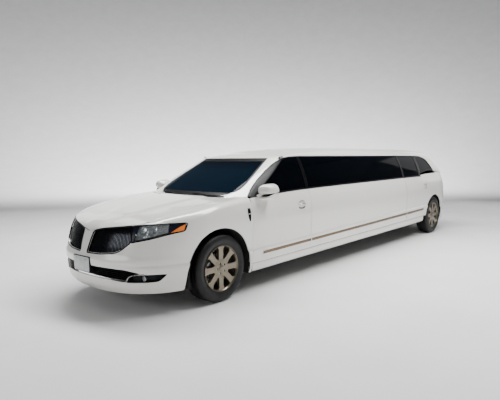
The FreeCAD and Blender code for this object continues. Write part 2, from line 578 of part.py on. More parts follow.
driver_seat = seat(0, 150, 690, 0)
rear_seat = seat(-4000, -580, 580, 0)
bench = fuse(box((-4450, -2250), (420, 800), (FLOOR[1], 640)), box((-4450, -2250), (700, 800), (640, 1050)))
bar = box((-4450, -2250), (-800, -560), (FLOOR[1], 900))
partition = inner_door.common(box((-2080, -2050), (-CUT, CUT), (FLOOR[1], 1100)))
partition = partition.cut(prism_front([(-500, 1000), (500, 1000), (500, 1500), (-500, 1500)], -2200, -1900))

# ---------------------------------------------------------------- wheels, steering and small pieces
def tyre(x, side):
    """A tyre about the wheel's axis: tread, shoulders, sidewalls and beads."""
    y = side * TRACK / 2
    h = TYRE_WIDTH / 2
    profile = [(RIM_RADIUS, h - 20), (RIM_RADIUS + 22, h - 8), (TYRE_RADIUS - 55, h), (TYRE_RADIUS - 14, h - 12),
               (TYRE_RADIUS, h - 34)]
    points = [Vec(x, y + w, TYRE_RADIUS + r) for r, w in profile + [(r, -w) for r, w in profile[::-1]]]
    return polygon(points).revolve(Vec(x, 0, TYRE_RADIUS), Vec(0, 1, 0), 360)


def wheel(x, side):
    """A wheel with eight flat spokes, its brake disc and its hub face."""
    y, h = TRACK / 2, TYRE_WIDTH / 2
    well = [(RIM_RADIUS - CLEAR, -h + 20), (LIP_RADIUS - 8, -h + 8), (LIP_RADIUS - 14, -h + 4), (RIM_RADIUS - 14, -h + 14),
            (RIM_RADIUS - 14, h - 14), (LIP_RADIUS - 14, h - 4), (LIP_RADIUS - 8, h - 8), (RIM_RADIUS - CLEAR, h - 20)]
    points = [Vec(x, y + w, TYRE_RADIUS + r) for r, w in well]
    barrel = polygon(points).revolve(Vec(x, 0, TYRE_RADIUS), Vec(0, 1, 0), 360)
    face = disc(x, TYRE_RADIUS, RIM_RADIUS - 5, y + h - 50, y + h - 16)
    for k in range(8):
        slot = polygon([Vec(x + r * math.sin(a), 0, TYRE_RADIUS + r * math.cos(a))
                        for r, a in ((88, -0.05), (218, -0.16), (218, 0.16), (88, 0.05))])
        slot = slot.extrude(Vec(0, CUT, 0))
        slot.rotate(Vec(x, 0, TYRE_RADIUS), Vec(0, 1, 0), 22.5 + 45 * k)
        face = face.cut(slot)
    hub = disc(x, TYRE_RADIUS, 62, 850, y + h - 16)
    brake = disc(x, TYRE_RADIUS, 165, 852, 876)
    made = fuse(barrel, face, hub, brake).cut(disc(x, TYRE_RADIUS, HUB_PIN + PIN_FIT, 840, 885))
    return made if side > 0 else mirror(made)


def knuckle():
    """A steering knuckle: upright with the wheel's stub, above the lower arm's ball joint."""
    body = fuse(post(0, STEER_AXIS_Y, 234, 500, 28), disc(0, TYRE_RADIUS, 45, STEER_AXIS_Y, 844),
                disc(0, TYRE_RADIUS, HUB_PIN, 844, 883))
    return body.cut(post(0, STEER_AXIS_Y, 230, 252, BALL_PIN + PIN_FIT))


COLUMN_LOW, COLUMN_TOP = (-700.0, 370.0, 820.0), (-1010.0, 370.0, 985.0)
column_axis = (Vec(*COLUMN_TOP) - Vec(*COLUMN_LOW)).normalize()
rim = Part.makeTorus(185, 15, Vec(*COLUMN_TOP), column_axis)
steering_hub = Part.makeCylinder(60, 30, Vec(*COLUMN_TOP) - column_axis * 20, column_axis)
column_x, column_y, column_z = COLUMN_TOP
steering_wheel = fuse(rim, steering_hub, rod((column_x, column_y - 185, column_z), (column_x, column_y + 185, column_z), 12))
COLUMN_PIN = 10.0
steering_wheel = steering_wheel.cut(Part.makeCylinder(COLUMN_PIN + PIN_FIT, 22, Vec(*COLUMN_TOP) - column_axis * 22,
                                                      column_axis))
column_foot = Vec(-800, 370, COLUMN_LOW[2] + 100 * 165 / 310.0)
column = rod(tuple(column_foot), tuple(Vec(*COLUMN_TOP) - column_axis * 26), 22)
column_pin = rod(tuple(column_foot), tuple(Vec(*COLUMN_TOP) - column_axis * 3), COLUMN_PIN)
dashboard = fuse(dashboard, column, column_pin)

HANDLE_AT = {"front": (-1440.0, 948.0), "rear": (rear(-468), 975.0)}


def handle(x, z):
    """A door pull: a level bar on two feet, seated on the door's skin."""
    bar_y = (HALF_WIDTH - 45, HALF_WIDTH + 22)
    body = box((x - 75, x + 75), bar_y, (z - 14, z + 14))
    body = body.cut(box((x - 52, x + 52), (0, HALF_WIDTH + 8), (z - 40, z + 40)))
    return body.cut(body_side)


MIRROR_SPAN = (-705.0, -590.0)
mirror_head = box(MIRROR_SPAN, (930, 1088), (1095, 1245))
mirror_head = mirror_head.makeFillet(28, mirror_head.Edges)
mirror_piece = fuse(mirror_head, box((-680, -610), (900, 985), (1050, 1120)).cut(body_side).cut(upper_outer))


# ---------------------------------------------------------------- write every node
def pair(name, shape):
    """A left piece and its right twin, as two nodes."""
    export(name + "_left", shape)
    export(name + "_right", mirror(shape))


export("floor_pan", floor_pan)
export("front_frame", front_frame)
export("roof_frame", roof_frame)
export("cowl", cowl)
export("windscreen", windscreen)
export("stretch_sides", both(stretch_side))
export("quarter_panels", both(quarter))
export("side_glass", Part.Compound(solids_of(both(stretch_pane)) + solids_of(both(quarter_pane))))
export("wings", both(wing))
export("sills", both(sill))
export("front_bumper", front_bumper)
export("rear_bumper", rear_bumper)
export("grille", both(grille_half))
export("lower_grille", lower_grille)
export("headlamps", both(headlamp))
export("fog_lamps", both(fog_lamp))
export("tail_lamps", both(tail_lamp))
export("front_plate", plate)
left_hinges = door_hinges(FRONT_DOOR_X[0]) + door_hinges(REAR_DOOR_X) + [bracket]
export("hinges", Part.Compound(left_hinges + [mirror(h) for h in left_hinges] + hatch_hinges))
export("engine", engine)
export("front_subframe", front_subframe)
export("struts", both(strut))
export("rear_subframe", rear_subframe)
export("exhaust", exhaust)
export("fuel_tank", fuel_tank)
export("dashboard", dashboard)
export("front_seats", both(driver_seat))
export("rear_seat", rear_seat)
export("side_bench", bench)
export("bar_cabinet", bar)
export("partition", partition)
export("bonnet", bonnet)
export("liftgate", liftgate)
export("liftgate_glass", hatch_pane)
export("steering_wheel", steering_wheel)
pair("knuckle", knuckle())
pair("front_door", front_door)
pair("front_door_glass", front_pane)
pair("rear_door", rear_door)
pair("rear_door_glass", rear_pane)
pair("front_handle", handle(*HANDLE_AT["front"]))
pair("rear_handle", handle(*HANDLE_AT["rear"]))
pair("mirror", mirror_piece)
for end, x in (("front", 0.0), ("rear", rear(0))):
    for side, word in ((1, "left"), (-1, "right")):
        export("%s_wheel_%s" % (end, word), wheel(x, side))
        export("%s_tyre_%s" % (end, word), tyre(x, side))
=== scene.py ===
# %% [markdown]
# # A stretch limousine, dressed in Blender
# The car is a large crossover, cut behind its front doors and let out by three metres.  Its engineering
# model, made elsewhere, comes in as a fixed frame with its joints.  This lesson makes what the eye sees:
# thin painted panels, tinted glass, lamps, wheels and a cabin.  Every new piece is a surface worked out with
# numpy as whole arrays, so each cell is a short formula and the pieces fit each other by sharing it.

# %% Load the frame
import math

import bmesh
import bpy
import numpy as np
from mathutils import Matrix, Vector


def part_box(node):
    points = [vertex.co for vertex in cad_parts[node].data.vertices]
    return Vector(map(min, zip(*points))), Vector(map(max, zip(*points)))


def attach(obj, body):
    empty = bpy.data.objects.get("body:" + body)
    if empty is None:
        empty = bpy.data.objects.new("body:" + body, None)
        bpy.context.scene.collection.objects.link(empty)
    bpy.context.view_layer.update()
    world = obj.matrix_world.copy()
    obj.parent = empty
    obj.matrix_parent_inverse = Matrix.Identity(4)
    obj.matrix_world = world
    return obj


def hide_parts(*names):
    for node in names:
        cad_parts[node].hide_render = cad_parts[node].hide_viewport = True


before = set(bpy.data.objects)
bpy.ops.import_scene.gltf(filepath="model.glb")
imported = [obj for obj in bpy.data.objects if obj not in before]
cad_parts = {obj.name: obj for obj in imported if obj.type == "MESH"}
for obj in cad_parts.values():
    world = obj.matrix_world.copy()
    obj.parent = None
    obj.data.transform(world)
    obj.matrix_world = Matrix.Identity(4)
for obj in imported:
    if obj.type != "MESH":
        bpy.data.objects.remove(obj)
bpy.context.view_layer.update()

# %% [markdown]
# ## Measures shared by all pieces
# Everything hangs on the two axles.  They could be typed in, but reading them from the tyres' boxes keeps
# the dressing true to the frame.  Below, lengths run from the front axle: forwards is positive, and
# `behind(d)` is a point d metres behind the rear axle.  `place` moves finished points into the car's frame.

# %% Axles and tyre size
tyre_low, tyre_high = (np.array(c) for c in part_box("front_tyre_left"))
rear_low, rear_high = (np.array(c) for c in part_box("rear_tyre_left"))
FRONT_AXLE = float(tyre_low[0] + tyre_high[0]) / 2
WHEELBASE = FRONT_AXLE - float(rear_low[0] + rear_high[0]) / 2
TYRE_RADIUS = float(tyre_high[2] - tyre_low[2]) / 2
TYRE_Y = float(tyre_low[1] + tyre_high[1]) / 2
ARCH = 0.418


def behind(d):
    """x of a point d metres behind the rear axle."""
    return -WHEELBASE - d


print("wheelbase", round(WHEELBASE, 3), "tyre radius", round(TYRE_RADIUS, 3))

# %% [markdown]
# ## The body's lines as tables
# A body's shape is set by few measures taken at many heights.  A spline through control points would do,
# but a table read by a monotone cubic has no overshoot: between two rows it never bulges past either.

# %% Monotone cubic through a table
def joined(*axes):
    """Points whose coordinates are the given arrays, spread out to a common shape."""
    return np.stack(np.broadcast_arrays(*axes), -1)


def through(table, column, at):
    """Value of a column of the table where the first column is `at`: the Hermite cubic whose slope at each
    row is the harmonic mean of its neighbours' slopes, or nil where they differ in sign."""
    data = np.array(sorted(table), float)
    x, y = data[:, 0], data[:, column]
    step = np.diff(x)
    slope = np.diff(y) / step
    left, right = slope[:-1], slope[1:]
    same = left * right > 0
    inner = np.where(same, 2 * left * right / np.where(same, left + right, 1), 0)
    rate = np.concatenate([slope[:1], inner, slope[-1:]])
    at = np.clip(np.asarray(at, float), x[0], x[-1])
    k = np.clip(np.searchsorted(x, at, side="right") - 1, 0, len(x) - 2)
    t = (at - x[k]) / step[k]
    return (y[k] * (1 + 2 * t) * (1 - t) ** 2 + y[k + 1] * t * t * (3 - 2 * t)
        + step[k] * (rate[k] * t * (1 - t) ** 2 - rate[k + 1] * t * t * (1 - t)))


# height, nose x, half width, tail behind the rear axle
LOWER = [(0.185, 0.985, 0.898, 1.085), (0.3, 1.065, 0.945, 1.153), (0.47, 1.088, 0.964, 1.177), (0.49, 1.092, 0.966, 1.178),
    (0.51, 1.096, 0.952, 1.178), (0.548, 1.099, 0.954, 1.177), (0.562, 1.097, 0.9545, 1.177), (0.6, 1.079, 0.956, 1.175),
    (0.7, 1.048, 0.962, 1.163), (0.81, 1.005, 0.965, 1.138), (0.9, 0.95, 0.961, 1.133), (1.04, 0.85, 0.938, 1.126),
    (1.15, 0.75, 0.903, 1.093), (1.26, 0.65, 0.87, 1.018)]
# height, windscreen x on the centre plane, half width, tail behind the rear axle
UPPER = [(1.0, -0.169, 0.935, 1.1), (1.04, -0.24, 0.923, 1.088), (1.18, -0.49, 0.882, 1.043), (1.3, -0.702, 0.845, 0.953),
    (1.42, -0.917, 0.797, 0.86), (1.545, -1.14, 0.735, 0.763), (1.73, -1.45, 0.613, 0.618)]
# x, height on the centre plane, height at 0.965 from it
BONNET_CROWN = [(1.16, 0.76, 0.69), (1.0, 0.85, 0.8), (0.9, 0.893, 0.88), (0.8, 0.918, 0.903), (0.7, 0.936, 0.92),
    (0.6, 0.963, 0.95), (0.47, 0.99, 0.978), (0.33, 1.018, 1.0), (0.2, 1.042, 1.024), (0.0, 1.072, 1.058), (-0.33, 1.11, 1.09),
    (-0.478, 1.128, 1.1), (-0.64, 1.14, 1.112)]
# x, height on the centre plane, height at 0.7 from it
ROOF_CROWN = [(-0.3, 1.33, 1.31), (-0.9, 1.5, 1.475), (-1.14, 1.56, 1.53), (-1.3, 1.603, 1.564), (-1.6, 1.648, 1.598),
    (-2.0, 1.678, 1.618), (-2.6, 1.702, 1.636), (-3.3, 1.712, 1.644), (behind(-0.5), 1.712, 1.644),
    (behind(-0.2), 1.704, 1.638), (behind(0.15), 1.684, 1.622), (behind(0.45), 1.65, 1.596), (behind(0.72), 1.604, 1.556),
    (behind(1.2), 1.49, 1.45)]
# x, height
BELT = [(-0.478, 1.1), (-1.65, 1.14), (behind(-1.343), 1.168), (behind(-0.61), 1.172), (behind(-0.53), 1.205),
    (behind(0.221), 1.222), (behind(0.9), 1.19), (behind(1.238), 1.15)]
print(len(LOWER), "lower and", len(UPPER), "upper rows")

# %% [markdown]
# ## Three master surfaces
# In plan, each level of the body is a straight flank with a curved nose and tail.  The curve is a
# superellipse, |x/a|^n + |y/b|^n = 1, which is rounder than a box and squarer than an ellipse.  Written in
# polar form about a centre, it needs no special case where the nose turns into the flank.

# %% Plan outlines and crowns
NOSE_START, TAIL_DEPTH = 0.1, 0.228             # where the flank starts to close, ahead and behind
TAIL_START = behind(TAIL_DEPTH)
SCREEN_DEPTH, HATCH_DEPTH = 0.27, 0.62
BODY_POWER, SCREEN_POWER = 2.5, 3.0               # n of the superellipses
BONNET_SIDE, ROOF_SIDE = 0.965, 0.7             # y at which the crowns' edge heights are given


def sweep(angle, deep, half, power):
    """Point on a superellipse seen from its centre: 0 looks along the car and a right angle looks across.
    Past a right angle the outline runs on as the straight flank."""
    c, s = np.cos(angle), np.sin(angle)
    ahead = np.clip(c, 0, None)
    radius = ((ahead / deep) ** power + (s / half) ** power) ** (-1 / power)
    flank = half / np.clip(s, 1e-3, None)
    radius = np.where(c >= 0, radius, flank)
    return radius * c, radius * s


def nose(angle, z, inset=0.0):
    """Front end of the lower body: swept round by angle at height z, set in by inset."""
    x, y = sweep(angle, through(LOWER, 1, z) - NOSE_START - inset, through(LOWER, 2, z) - inset, BODY_POWER)
    return joined(x + NOSE_START, y, z)


def tail(angle, z, inset=0.0):
    """Rear end of the lower body."""
    x, y = sweep(angle, through(LOWER, 3, z) - TAIL_DEPTH - inset, through(LOWER, 2, z) - inset, BODY_POWER)
    return joined(TAIL_START - x, y, z)


def screen(angle, z, inset=0.0):
    """Windscreen and the pillars beside it."""
    x, y = sweep(angle, SCREEN_DEPTH + 0 * z, through(UPPER, 2, z) - inset, SCREEN_POWER)
    return joined(x + through(UPPER, 1, z) - 1.4 * inset - SCREEN_DEPTH, y, z)


def hatch(angle, z, inset=0.0):
    """Rear end of the cabin."""
    x, y = sweep(angle, HATCH_DEPTH + 0 * z, through(UPPER, 2, z) - inset, BODY_POWER)
    return joined(behind(through(UPPER, 3, z) - HATCH_DEPTH) - x + inset, y, z)


def bent(x, tip, half, start, power):
    """Half width at x where the outline closes from `start` to `tip`: half times (1 - t^n)^(1/n)."""
    t = np.clip((x - start) / (tip - start), 0, 0.99999)
    return half * (1 - t ** power) ** (1 / power)


def flank(x, z, inset=0.0):
    """Side of the lower body as y over x and z."""
    half = through(LOWER, 2, z)
    return np.minimum(bent(x, through(LOWER, 1, z), half, NOSE_START, BODY_POWER),
        bent(x, behind(through(LOWER, 3, z)), half, TAIL_START, BODY_POWER)) - inset


def cabin(x, z, inset=0.0):
    """Side of the cabin as y over x and z."""
    half, front, back = through(UPPER, 2, z), through(UPPER, 1, z), behind(through(UPPER, 3, z))
    return np.minimum(bent(x, front, half, front - SCREEN_DEPTH, SCREEN_POWER),
        bent(x, back, half, back + HATCH_DEPTH, BODY_POWER)) - inset


def lid(x, y):
    """Height of the bonnet and the wings' tops: a shallow parabola across the car."""
    centre, edge = through(BONNET_CROWN, 1, x), through(BONNET_CROWN, 2, x)
    return centre - (centre - edge) * (y / BONNET_SIDE) ** 2


def roof(x, y):
    """Height of the roof."""
    centre, edge = through(ROOF_CROWN, 1, x), through(ROOF_CROWN, 2, x)
    return centre - (centre - edge) * (y / ROOF_SIDE) ** 2


def settle(z, height):
    """The z at which height(z) is z itself, found by going half way there again and again."""
    for _ in range(40):
        z = 0.5 * z + 0.5 * height(z)
    return z


def corner(x, side, top, z):
    """Where a side and a top meet at x."""
    z = settle(z, lambda at: top(x, side(x, at)))
    return side(x, z), z


print("roof shoulder at mid car", [round(float(v), 3) for v in corner(np.float64(-3), cabin, roof, 1.6)])

# %% [markdown]
# ## From arrays to meshes
# A surface is a grid of points, rows by columns.  Adding each face in a loop would be slow, so the face list
# is worked out as one array too.  Panels get their thickness from Solidify and their hemmed edges from
# Bevel.  Both are then applied, so that what is seen is exactly what is in the mesh.

# %% Grids, panels and pieces
def circle(count):
    """Angles spread evenly once round."""
    return np.linspace(0, 2 * np.pi, count + 1)[:-1]


def unit(rows):
    """Each row as a vector of length one."""
    return rows / np.linalg.norm(rows, axis=1)[:, None]


def ringed(line, across, up, u, v):
    """A ring of points round each point of a line: u times its `across` plus v times its `up` away."""
    return line[:, None] + across[:, None] * u[:, None] + up[:, None] * v[:, None]


def quads(rows, columns, ring_rows=False, ring_columns=False):
    """Corner numbers of every cell of a grid; a ring closes on itself."""
    r = np.arange(rows if ring_rows else rows - 1)[:, None]
    c = np.arange(columns if ring_columns else columns - 1)[None, :]
    r2, c2 = (r + 1) % rows, (c + 1) % columns
    return joined(r * columns + c, r * columns + c2, r2 * columns + c2, r2 * columns + c).reshape(-1, 4)


def facing(points, faces, towards):
    """The faces, turned over if on the whole they look away from `towards`."""
    a, b, c = points[faces[:, 0]], points[faces[:, 1]], points[faces[:, 2]]
    look = np.cross(b - a, c - b).sum(0)
    return faces if np.dot(look, towards) >= 0 else faces[:, ::-1]


def mesh_of(name, sheets):
    """One mesh from sheets of (points, direction faced) or (points, rows close, columns close, direction)."""
    points, faces, count = [], [], 0
    for grid, *ways in sheets:
        ring_rows, ring_columns, towards = ways if len(ways) == 3 else (False, False, *ways)
        flat = np.ascontiguousarray(grid.reshape(-1, 3), float)
        cells = quads(grid.shape[0], grid.shape[1], ring_rows, ring_columns)
        if towards is not None:
            cells = facing(flat, cells, np.array(towards, float))
        points.append(flat)
        faces.append(cells + count)
        count += len(flat)
    points, faces = np.concatenate(points), np.concatenate(faces)
    points[:, 0] += FRONT_AXLE
    mesh = bpy.data.meshes.new(name)
    mesh.vertices.add(len(points))
    mesh.vertices.foreach_set("co", points.ravel())
    mesh.loops.add(faces.size)
    mesh.loops.foreach_set("vertex_index", faces.ravel().astype(np.int32))
    mesh.polygons.add(len(faces))
    mesh.polygons.foreach_set("loop_start", np.arange(0, faces.size, 4, dtype=np.int32))
    mesh.update(calc_edges=True)
    mesh.validate()
    return mesh


def tidy(mesh, closed, near=2e-5):
    """Joins points that coincide and, on closed shells, turns all faces outwards."""
    work = bmesh.new()
    work.from_mesh(mesh)
    bmesh.ops.remove_doubles(work, verts=work.verts, dist=near)
    bmesh.ops.dissolve_degenerate(work, dist=1e-6, edges=work.edges)
    if closed:
        bmesh.ops.recalc_face_normals(work, faces=work.faces)
    work.to_mesh(mesh)
    work.free()


def linked(name, sheets, closed=True, near=2e-5):
    """An object in the scene, made from sheets."""
    mesh = mesh_of(name, sheets)
    tidy(mesh, closed, near)
    obj = bpy.data.objects.new(name, mesh)
    bpy.context.collection.objects.link(obj)
    return obj


def looped(grid, rows=False):
    """A sheet that closes on itself over its columns, and over its rows too if asked."""
    return (grid, rows, True, None)


def fans(*rings):
    """End caps: each ring of points joined to its own middle."""
    return [looped(np.stack([0 * r + r.mean(0), r])) for r in rings]


def applied(obj, crease=35):
    """Puts the modifiers' result into the mesh and shades it smooth except along real edges."""
    result = bpy.data.meshes.new_from_object(obj.evaluated_get(bpy.context.evaluated_depsgraph_get()))
    obj.modifiers.clear()
    old, obj.data = obj.data, result
    bpy.data.meshes.remove(old)
    result.polygons.foreach_set("use_smooth", np.ones(len(result.polygons), bool))
    result.set_sharp_from_angle(angle=math.radians(crease))
    return obj


def piece(name, body, finish, slot, sheets, thick=0.0, inner=None, hem=0.0, closed=False, cut=(), crease=35):
    """Builds, finishes and mounts one piece.  thick is the wall, measured inwards; inner is the finish of
    the wall's inside; hem rounds the edges; cut lists the sheets of each shape that is cut out."""
    obj = linked(name, sheets, closed)
    cutters = [linked("cutter", shape) for shape in cut]
    obj.data.materials.append(finish)
    if inner:
        obj.data.materials.append(inner)
    if thick:
        wall = obj.modifiers.new("wall", "SOLIDIFY")
        wall.thickness, wall.offset, wall.use_even_offset = thick, -1.0, False
        wall.material_offset = 1 if inner else 0
    for cutter in cutters:
        hole = obj.modifiers.new("hole", "BOOLEAN")
        hole.operation, hole.object, hole.solver = "DIFFERENCE", cutter, "EXACT"
    if hem:
        edge = obj.modifiers.new("hem", "BEVEL")
        edge.width, edge.segments, edge.limit_method, edge.angle_limit = hem, 2, "ANGLE", math.radians(50)
        edge.use_clamp_overlap = True
    applied(obj, crease)
    for cutter in cutters:
        bpy.data.objects.remove(cutter)
    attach(obj, body)
    return obj


def mirrored(points):
    """The same points on the car's right side."""
    return points * np.array([1, -1, 1])


SIDES = (("left", 1), ("right", -1))
FORWARD, BACKWARD, LEFT, UP = (1, 0, 0), (-1, 0, 0), (0, 1, 0), (0, 0, 1)          # ways a sheet can face


def sided(sheets, side):
    """Left-hand sheets, or for the right side their mirror images, which face the mirrored way."""
    if side > 0:
        return sheets
    return [(mirrored(grid), *flags, None if way is None else mirrored(np.array(way))) for grid, *flags, way in sheets]


def pair(name, body, finish, slot, sheets, cut=(), **more):
    """A piece on both sides, given for the left; a body that ends in _ takes the side's word as well."""
    for word, side in SIDES:
        holes = [sided(shape, side) for shape in cut]
        piece(f"{name}_{word}", body + word if body[-1] == "_" else body, finish, slot, sided(sheets, side), cut=holes, **more)


print("mesh helpers ready")

# %% [markdown]
# ## Finishes
# Each finish starts from the real material.  Colours are written as the sRGB hex a painter would pick, and
# one function turns them into the linear values that the shader wants.  One more adds a node with its
# settings and links; with it, each material below is a few readable lines.

# %% Colour and node helpers
def linear(code):
    """Linear RGBA of an sRGB hex colour: (v/12.92) below 0.04045, else ((v + 0.055)/1.055)^2.4."""
    v = np.array([int(code[i:i + 2], 16) for i in (1, 3, 5)]) / 255
    return (*np.where(v <= 0.04045, v / 12.92, ((v + 0.055) / 1.055) ** 2.4).tolist(), 1.0)


def node(tree, kind, links=None, **settings):
    """Adds a node.  Settings that are sockets set their default; links join a socket to an output."""
    made_node = tree.nodes.new("ShaderNode" + kind)
    for key, value in settings.items():
        if hasattr(made_node, key):
            setattr(made_node, key, value)
        else:
            made_node.inputs[key.replace("_", " ")].default_value = value
    for key, output in (links or {}).items():
        tree.links.new(output, made_node.inputs[key])
    return made_node


def finish(name, colour, rough, metal=0.0, coat=0.0, ior=1.5, **more):
    """A principled material and the nodes that the patterns are added to."""
    material = bpy.data.materials.new(name)
    material.use_nodes = True
    tree = material.node_tree
    shader = tree.nodes["Principled BSDF"]
    values = {"Base Color": linear(colour), "Roughness": rough, "Metallic": metal, "Coat Weight": coat, "IOR": ior}
    for key, value in {**values, **more}.items():
        shader.inputs[key.replace("_", " ")].default_value = value
    here = node(tree, "TexCoord").outputs["Object"]
    return material, tree, shader, here


def grain(tree, here, size, detail=3.0, rough=0.55, stretch=(1, 1, 1)):
    """Noise whose lumps are `size` metres across, pulled out along an axis by `stretch`."""
    spread = node(tree, "Mapping", {"Vector": here}, Scale=tuple(1 / (size * s) for s in stretch))
    return node(tree, "TexNoise", {"Vector": spread.outputs[0]}, Scale=1.0, Detail=detail, Roughness=rough).outputs["Fac"]


def bumped(tree, shader, height, depth, strength=1.0):
    """Raises the surface by a pattern, depth metres high."""
    bump = node(tree, "Bump", {"Height": height}, Distance=depth, Strength=strength)
    tree.links.new(bump.outputs[0], shader.inputs["Normal"])


def tinted(tree, shader, pattern, low, high, socket="Base Color", start=0.35, end=0.65):
    """Colours the surface between two shades as the pattern goes from start to end."""
    ramp = node(tree, "ValToRGB", {"Fac": pattern})
    ramp.color_ramp.elements[0].position, ramp.color_ramp.elements[1].position = start, end
    ramp.color_ramp.elements[0].color, ramp.color_ramp.elements[1].color = linear(low), linear(high)
    tree.links.new(ramp.outputs[0], shader.inputs[socket])
    return ramp


def coated(name, colour, rough, tint=None, bump=None, **more):
    """A finish with only patches, tint = (size, low, high), and a grain, bump = (size, depth[, detail])."""
    material, tree, shader, here = finish(name, colour, rough, **more)
    if tint:
        tinted(tree, shader, grain(tree, here, tint[0]), *tint[1:])
    if bump:
        bumped(tree, shader, grain(tree, here, bump[0], *bump[2:]), bump[1])
    return material

# %% [markdown]
# ### Pearl paint
# Pearl white is a white base under mica flakes and clear lacquer.  The lacquer gives the sharp reflection,
# the flakes a slight warmth that changes over the panel, and spraying leaves a fine orange peel.  Lower down the colour
# greys
# in cloudy patches towards the ground: painted shade for the lower flank, which faces away from the light overhead.

# %% Paint
pearl, tree, shader, here = finish("pearl_white_clearcoat", "#F1EFE8", 0.3, coat=1.0, Coat_Roughness=0.03, Coat_IOR=1.5)
flake = grain(tree, here, 0.0012, detail=1.0)
cloud = grain(tree, here, 0.35)
height = node(tree, "SeparateXYZ", {"Vector": here}).outputs["Z"]
# Painted shade: below 0.62 m the white greys towards the ground, in cloudy patches.
low_shade = node(tree, "MapRange", {"Value": height}, From_Min=0.18, From_Max=0.62, To_Min=0.34, To_Max=0.0)
painted_low_shade = node(tree, "Math", {0: low_shade.outputs[0], 1: cloud}, operation="MULTIPLY")
white = node(tree, "ValToRGB", {"Fac": flake})
white.color_ramp.elements[0].color, white.color_ramp.elements[1].color = linear("#ECEAE3"), linear("#F6F4EF")
shaded_white = node(tree, "Mix", {0: painted_low_shade.outputs[0], 6: white.outputs[0]}, data_type="RGBA")
# The grey of the painted shade.
shaded_white.inputs[7].default_value = linear("#A79F90")
tree.links.new(shaded_white.outputs[2], shader.inputs["Base Color"])
peel = grain(tree, here, 0.006, detail=1.0)                # orange peel, 6 mm from crest to crest
bumped(tree, shader, peel, 0.00003)
print(pearl.name)

# %% [markdown]
# ### Glass
# Side glass of a limousine is dyed nearly black and lamp lenses are clear polycarbonate.  The windscreen is a clear
# blue-green laminate, coloured here nearly black and darker towards the top: painted shade for the dim cabin seen
# through it.
# All are thin panes, so the shader needs only tint, gloss and some transmission.

# %% Glass and lens finishes
privacy = coated("privacy_tinted_glass", "#05080D", 0.03, ior=1.1, Transmission_Weight=0.3, Specular_IOR_Level=0.3,
    bump=(0.3, 0.0004, 0.0))      # roller wave of toughened glass
# The near-black colour is painted shade for the cabin behind the screen; it darkens further towards the top.
laminate, tree, shader, here = finish("screen_glass_painted_shade", "#06111F", 0.02, ior=1.12, Transmission_Weight=0.3,
    Specular_IOR_Level=0.3)
tinted(tree, shader, node(tree, "SeparateXYZ", {"Vector": here}).outputs["Z"], "#0D1B28", "#080E15", start=0.0, end=1.0)
shade = [n for n in tree.nodes if n.type == "VALTORGB"][0]
band = node(tree, "MapRange", {"Value": shade.inputs[0].links[0].from_socket}, From_Min=1.38, From_Max=1.52)
tree.links.new(band.outputs[0], shade.inputs[0])
bumped(tree, shader, grain(tree, here, 0.4, detail=0.0), 0.0003)
clear = coated("clear_polycarbonate", "#F4F6F6", 0.02, ior=1.58, Transmission_Weight=1.0, bump=(0.02, 0.00002, 0.0))
# The emission is a painted glow: the amber corner is not lit.
amber, tree, shader, here = finish("amber_corner_painted_glow", "#F07808", 0.16, coat=0.6, Transmission_Weight=0.1,
    Emission_Color=linear("#F07808"), Emission_Strength=0.25)
prism = node(tree, "TexChecker", {"Vector": here}, Scale=160.0)         # 6 mm prisms
bumped(tree, shader, prism.outputs["Fac"], 0.0006)
ruby, tree, shader, here = finish("red_acrylic_lens", "#7D0710", 0.06, coat=0.8, Transmission_Weight=0.25)
ribs = node(tree, "TexWave", {"Vector": here}, Scale=18.0, wave_type="BANDS", bands_direction="Z")
bumped(tree, shader, ribs.outputs["Fac"], 0.0008)
tinted(tree, shader, ribs.outputs["Fac"], "#6A040C", "#98101A", start=0.2, end=0.8)

# %% [markdown]
# ### Metals
# Bright trim is chromed plastic: almost no colour of its own, and only faint wiping marks to break its
# mirror.  The wheels are polished and lacquered aluminium with a warm, champagne cast.

# %% Metal finishes
chrome = coated("chromed_plastic", "#D6D7DA", 0.08, metal=1.0, tint=(0.03, "#C4C6CA", "#E2E3E5"), bump=(0.004, 0.00001, 1.0))
# Dark bronze for the strip under the sill's ledge: painted shade where the ledge's shadow falls.
shadow_bronze, tree, shader, here = finish("bronze_strip_painted_shade", "#7E6B54", 0.32, metal=1.0)
brushed = grain(tree, here, 0.001, stretch=(60, 1, 1))                  # brushing runs along the car
tinted(tree, shader, brushed, "#5C4A36", "#806D57")
bumped(tree, shader, brushed, 0.00002)
champagne, tree, shader, here = finish("polished_champagne_alloy", "#595348", 0.32, metal=0.85, coat=0.25, Coat_Roughness=0.05)
turned = grain(tree, here, 0.0015, detail=1.0)
tinted(tree, shader, turned, "#6B6456", "#827969")
bumped(tree, shader, turned, 0.000015)
steel = coated("turned_steel", "#8F9092", 0.32, metal=1.0, tint=(0.02, "#77787A", "#A3A4A6"))
cast = coated("sand_cast_iron", "#3B3A38", 0.62, metal=0.7, tint=(0.012, "#332F2C", "#4D4640"), bump=(0.0025, 0.0003))

lamp_navy = coated("navy_lamp_mask", "#0A1226", 0.25, Specular_IOR_Level=0.25, bump=(0.01, 0.00005))
bright_trim = coated("satin_bright_trim", "#8E8F90", 0.25, metal=1.0, tint=(0.05, "#868788", "#989999"))
# Dark chrome for the handles' crescents and the grille's chrome blades: painted shade, and on the blades a painted dark
# reflection.
shade_chrome = coated("dark_chrome_painted_shade", "#3A3C40", 0.18, metal=1.0, tint=(0.02, "#303236", "#45474C"))
mirror_bowl = coated("aluminised_reflector", "#DADDE0", 0.3, metal=1.0, tint=(0.01, "#C6CACE", "#E6E8EA"))
crystal, tree, shader, here = finish("pressed_lamp_crystal", "#E4ECEF", 0.03, ior=1.55, Transmission_Weight=0.75)
pressed_rings = node(tree, "TexWave", {"Vector": here}, Scale=60.0, wave_type="BANDS", bands_direction="Z")
bumped(tree, shader, pressed_rings.outputs["Fac"], 0.0006)

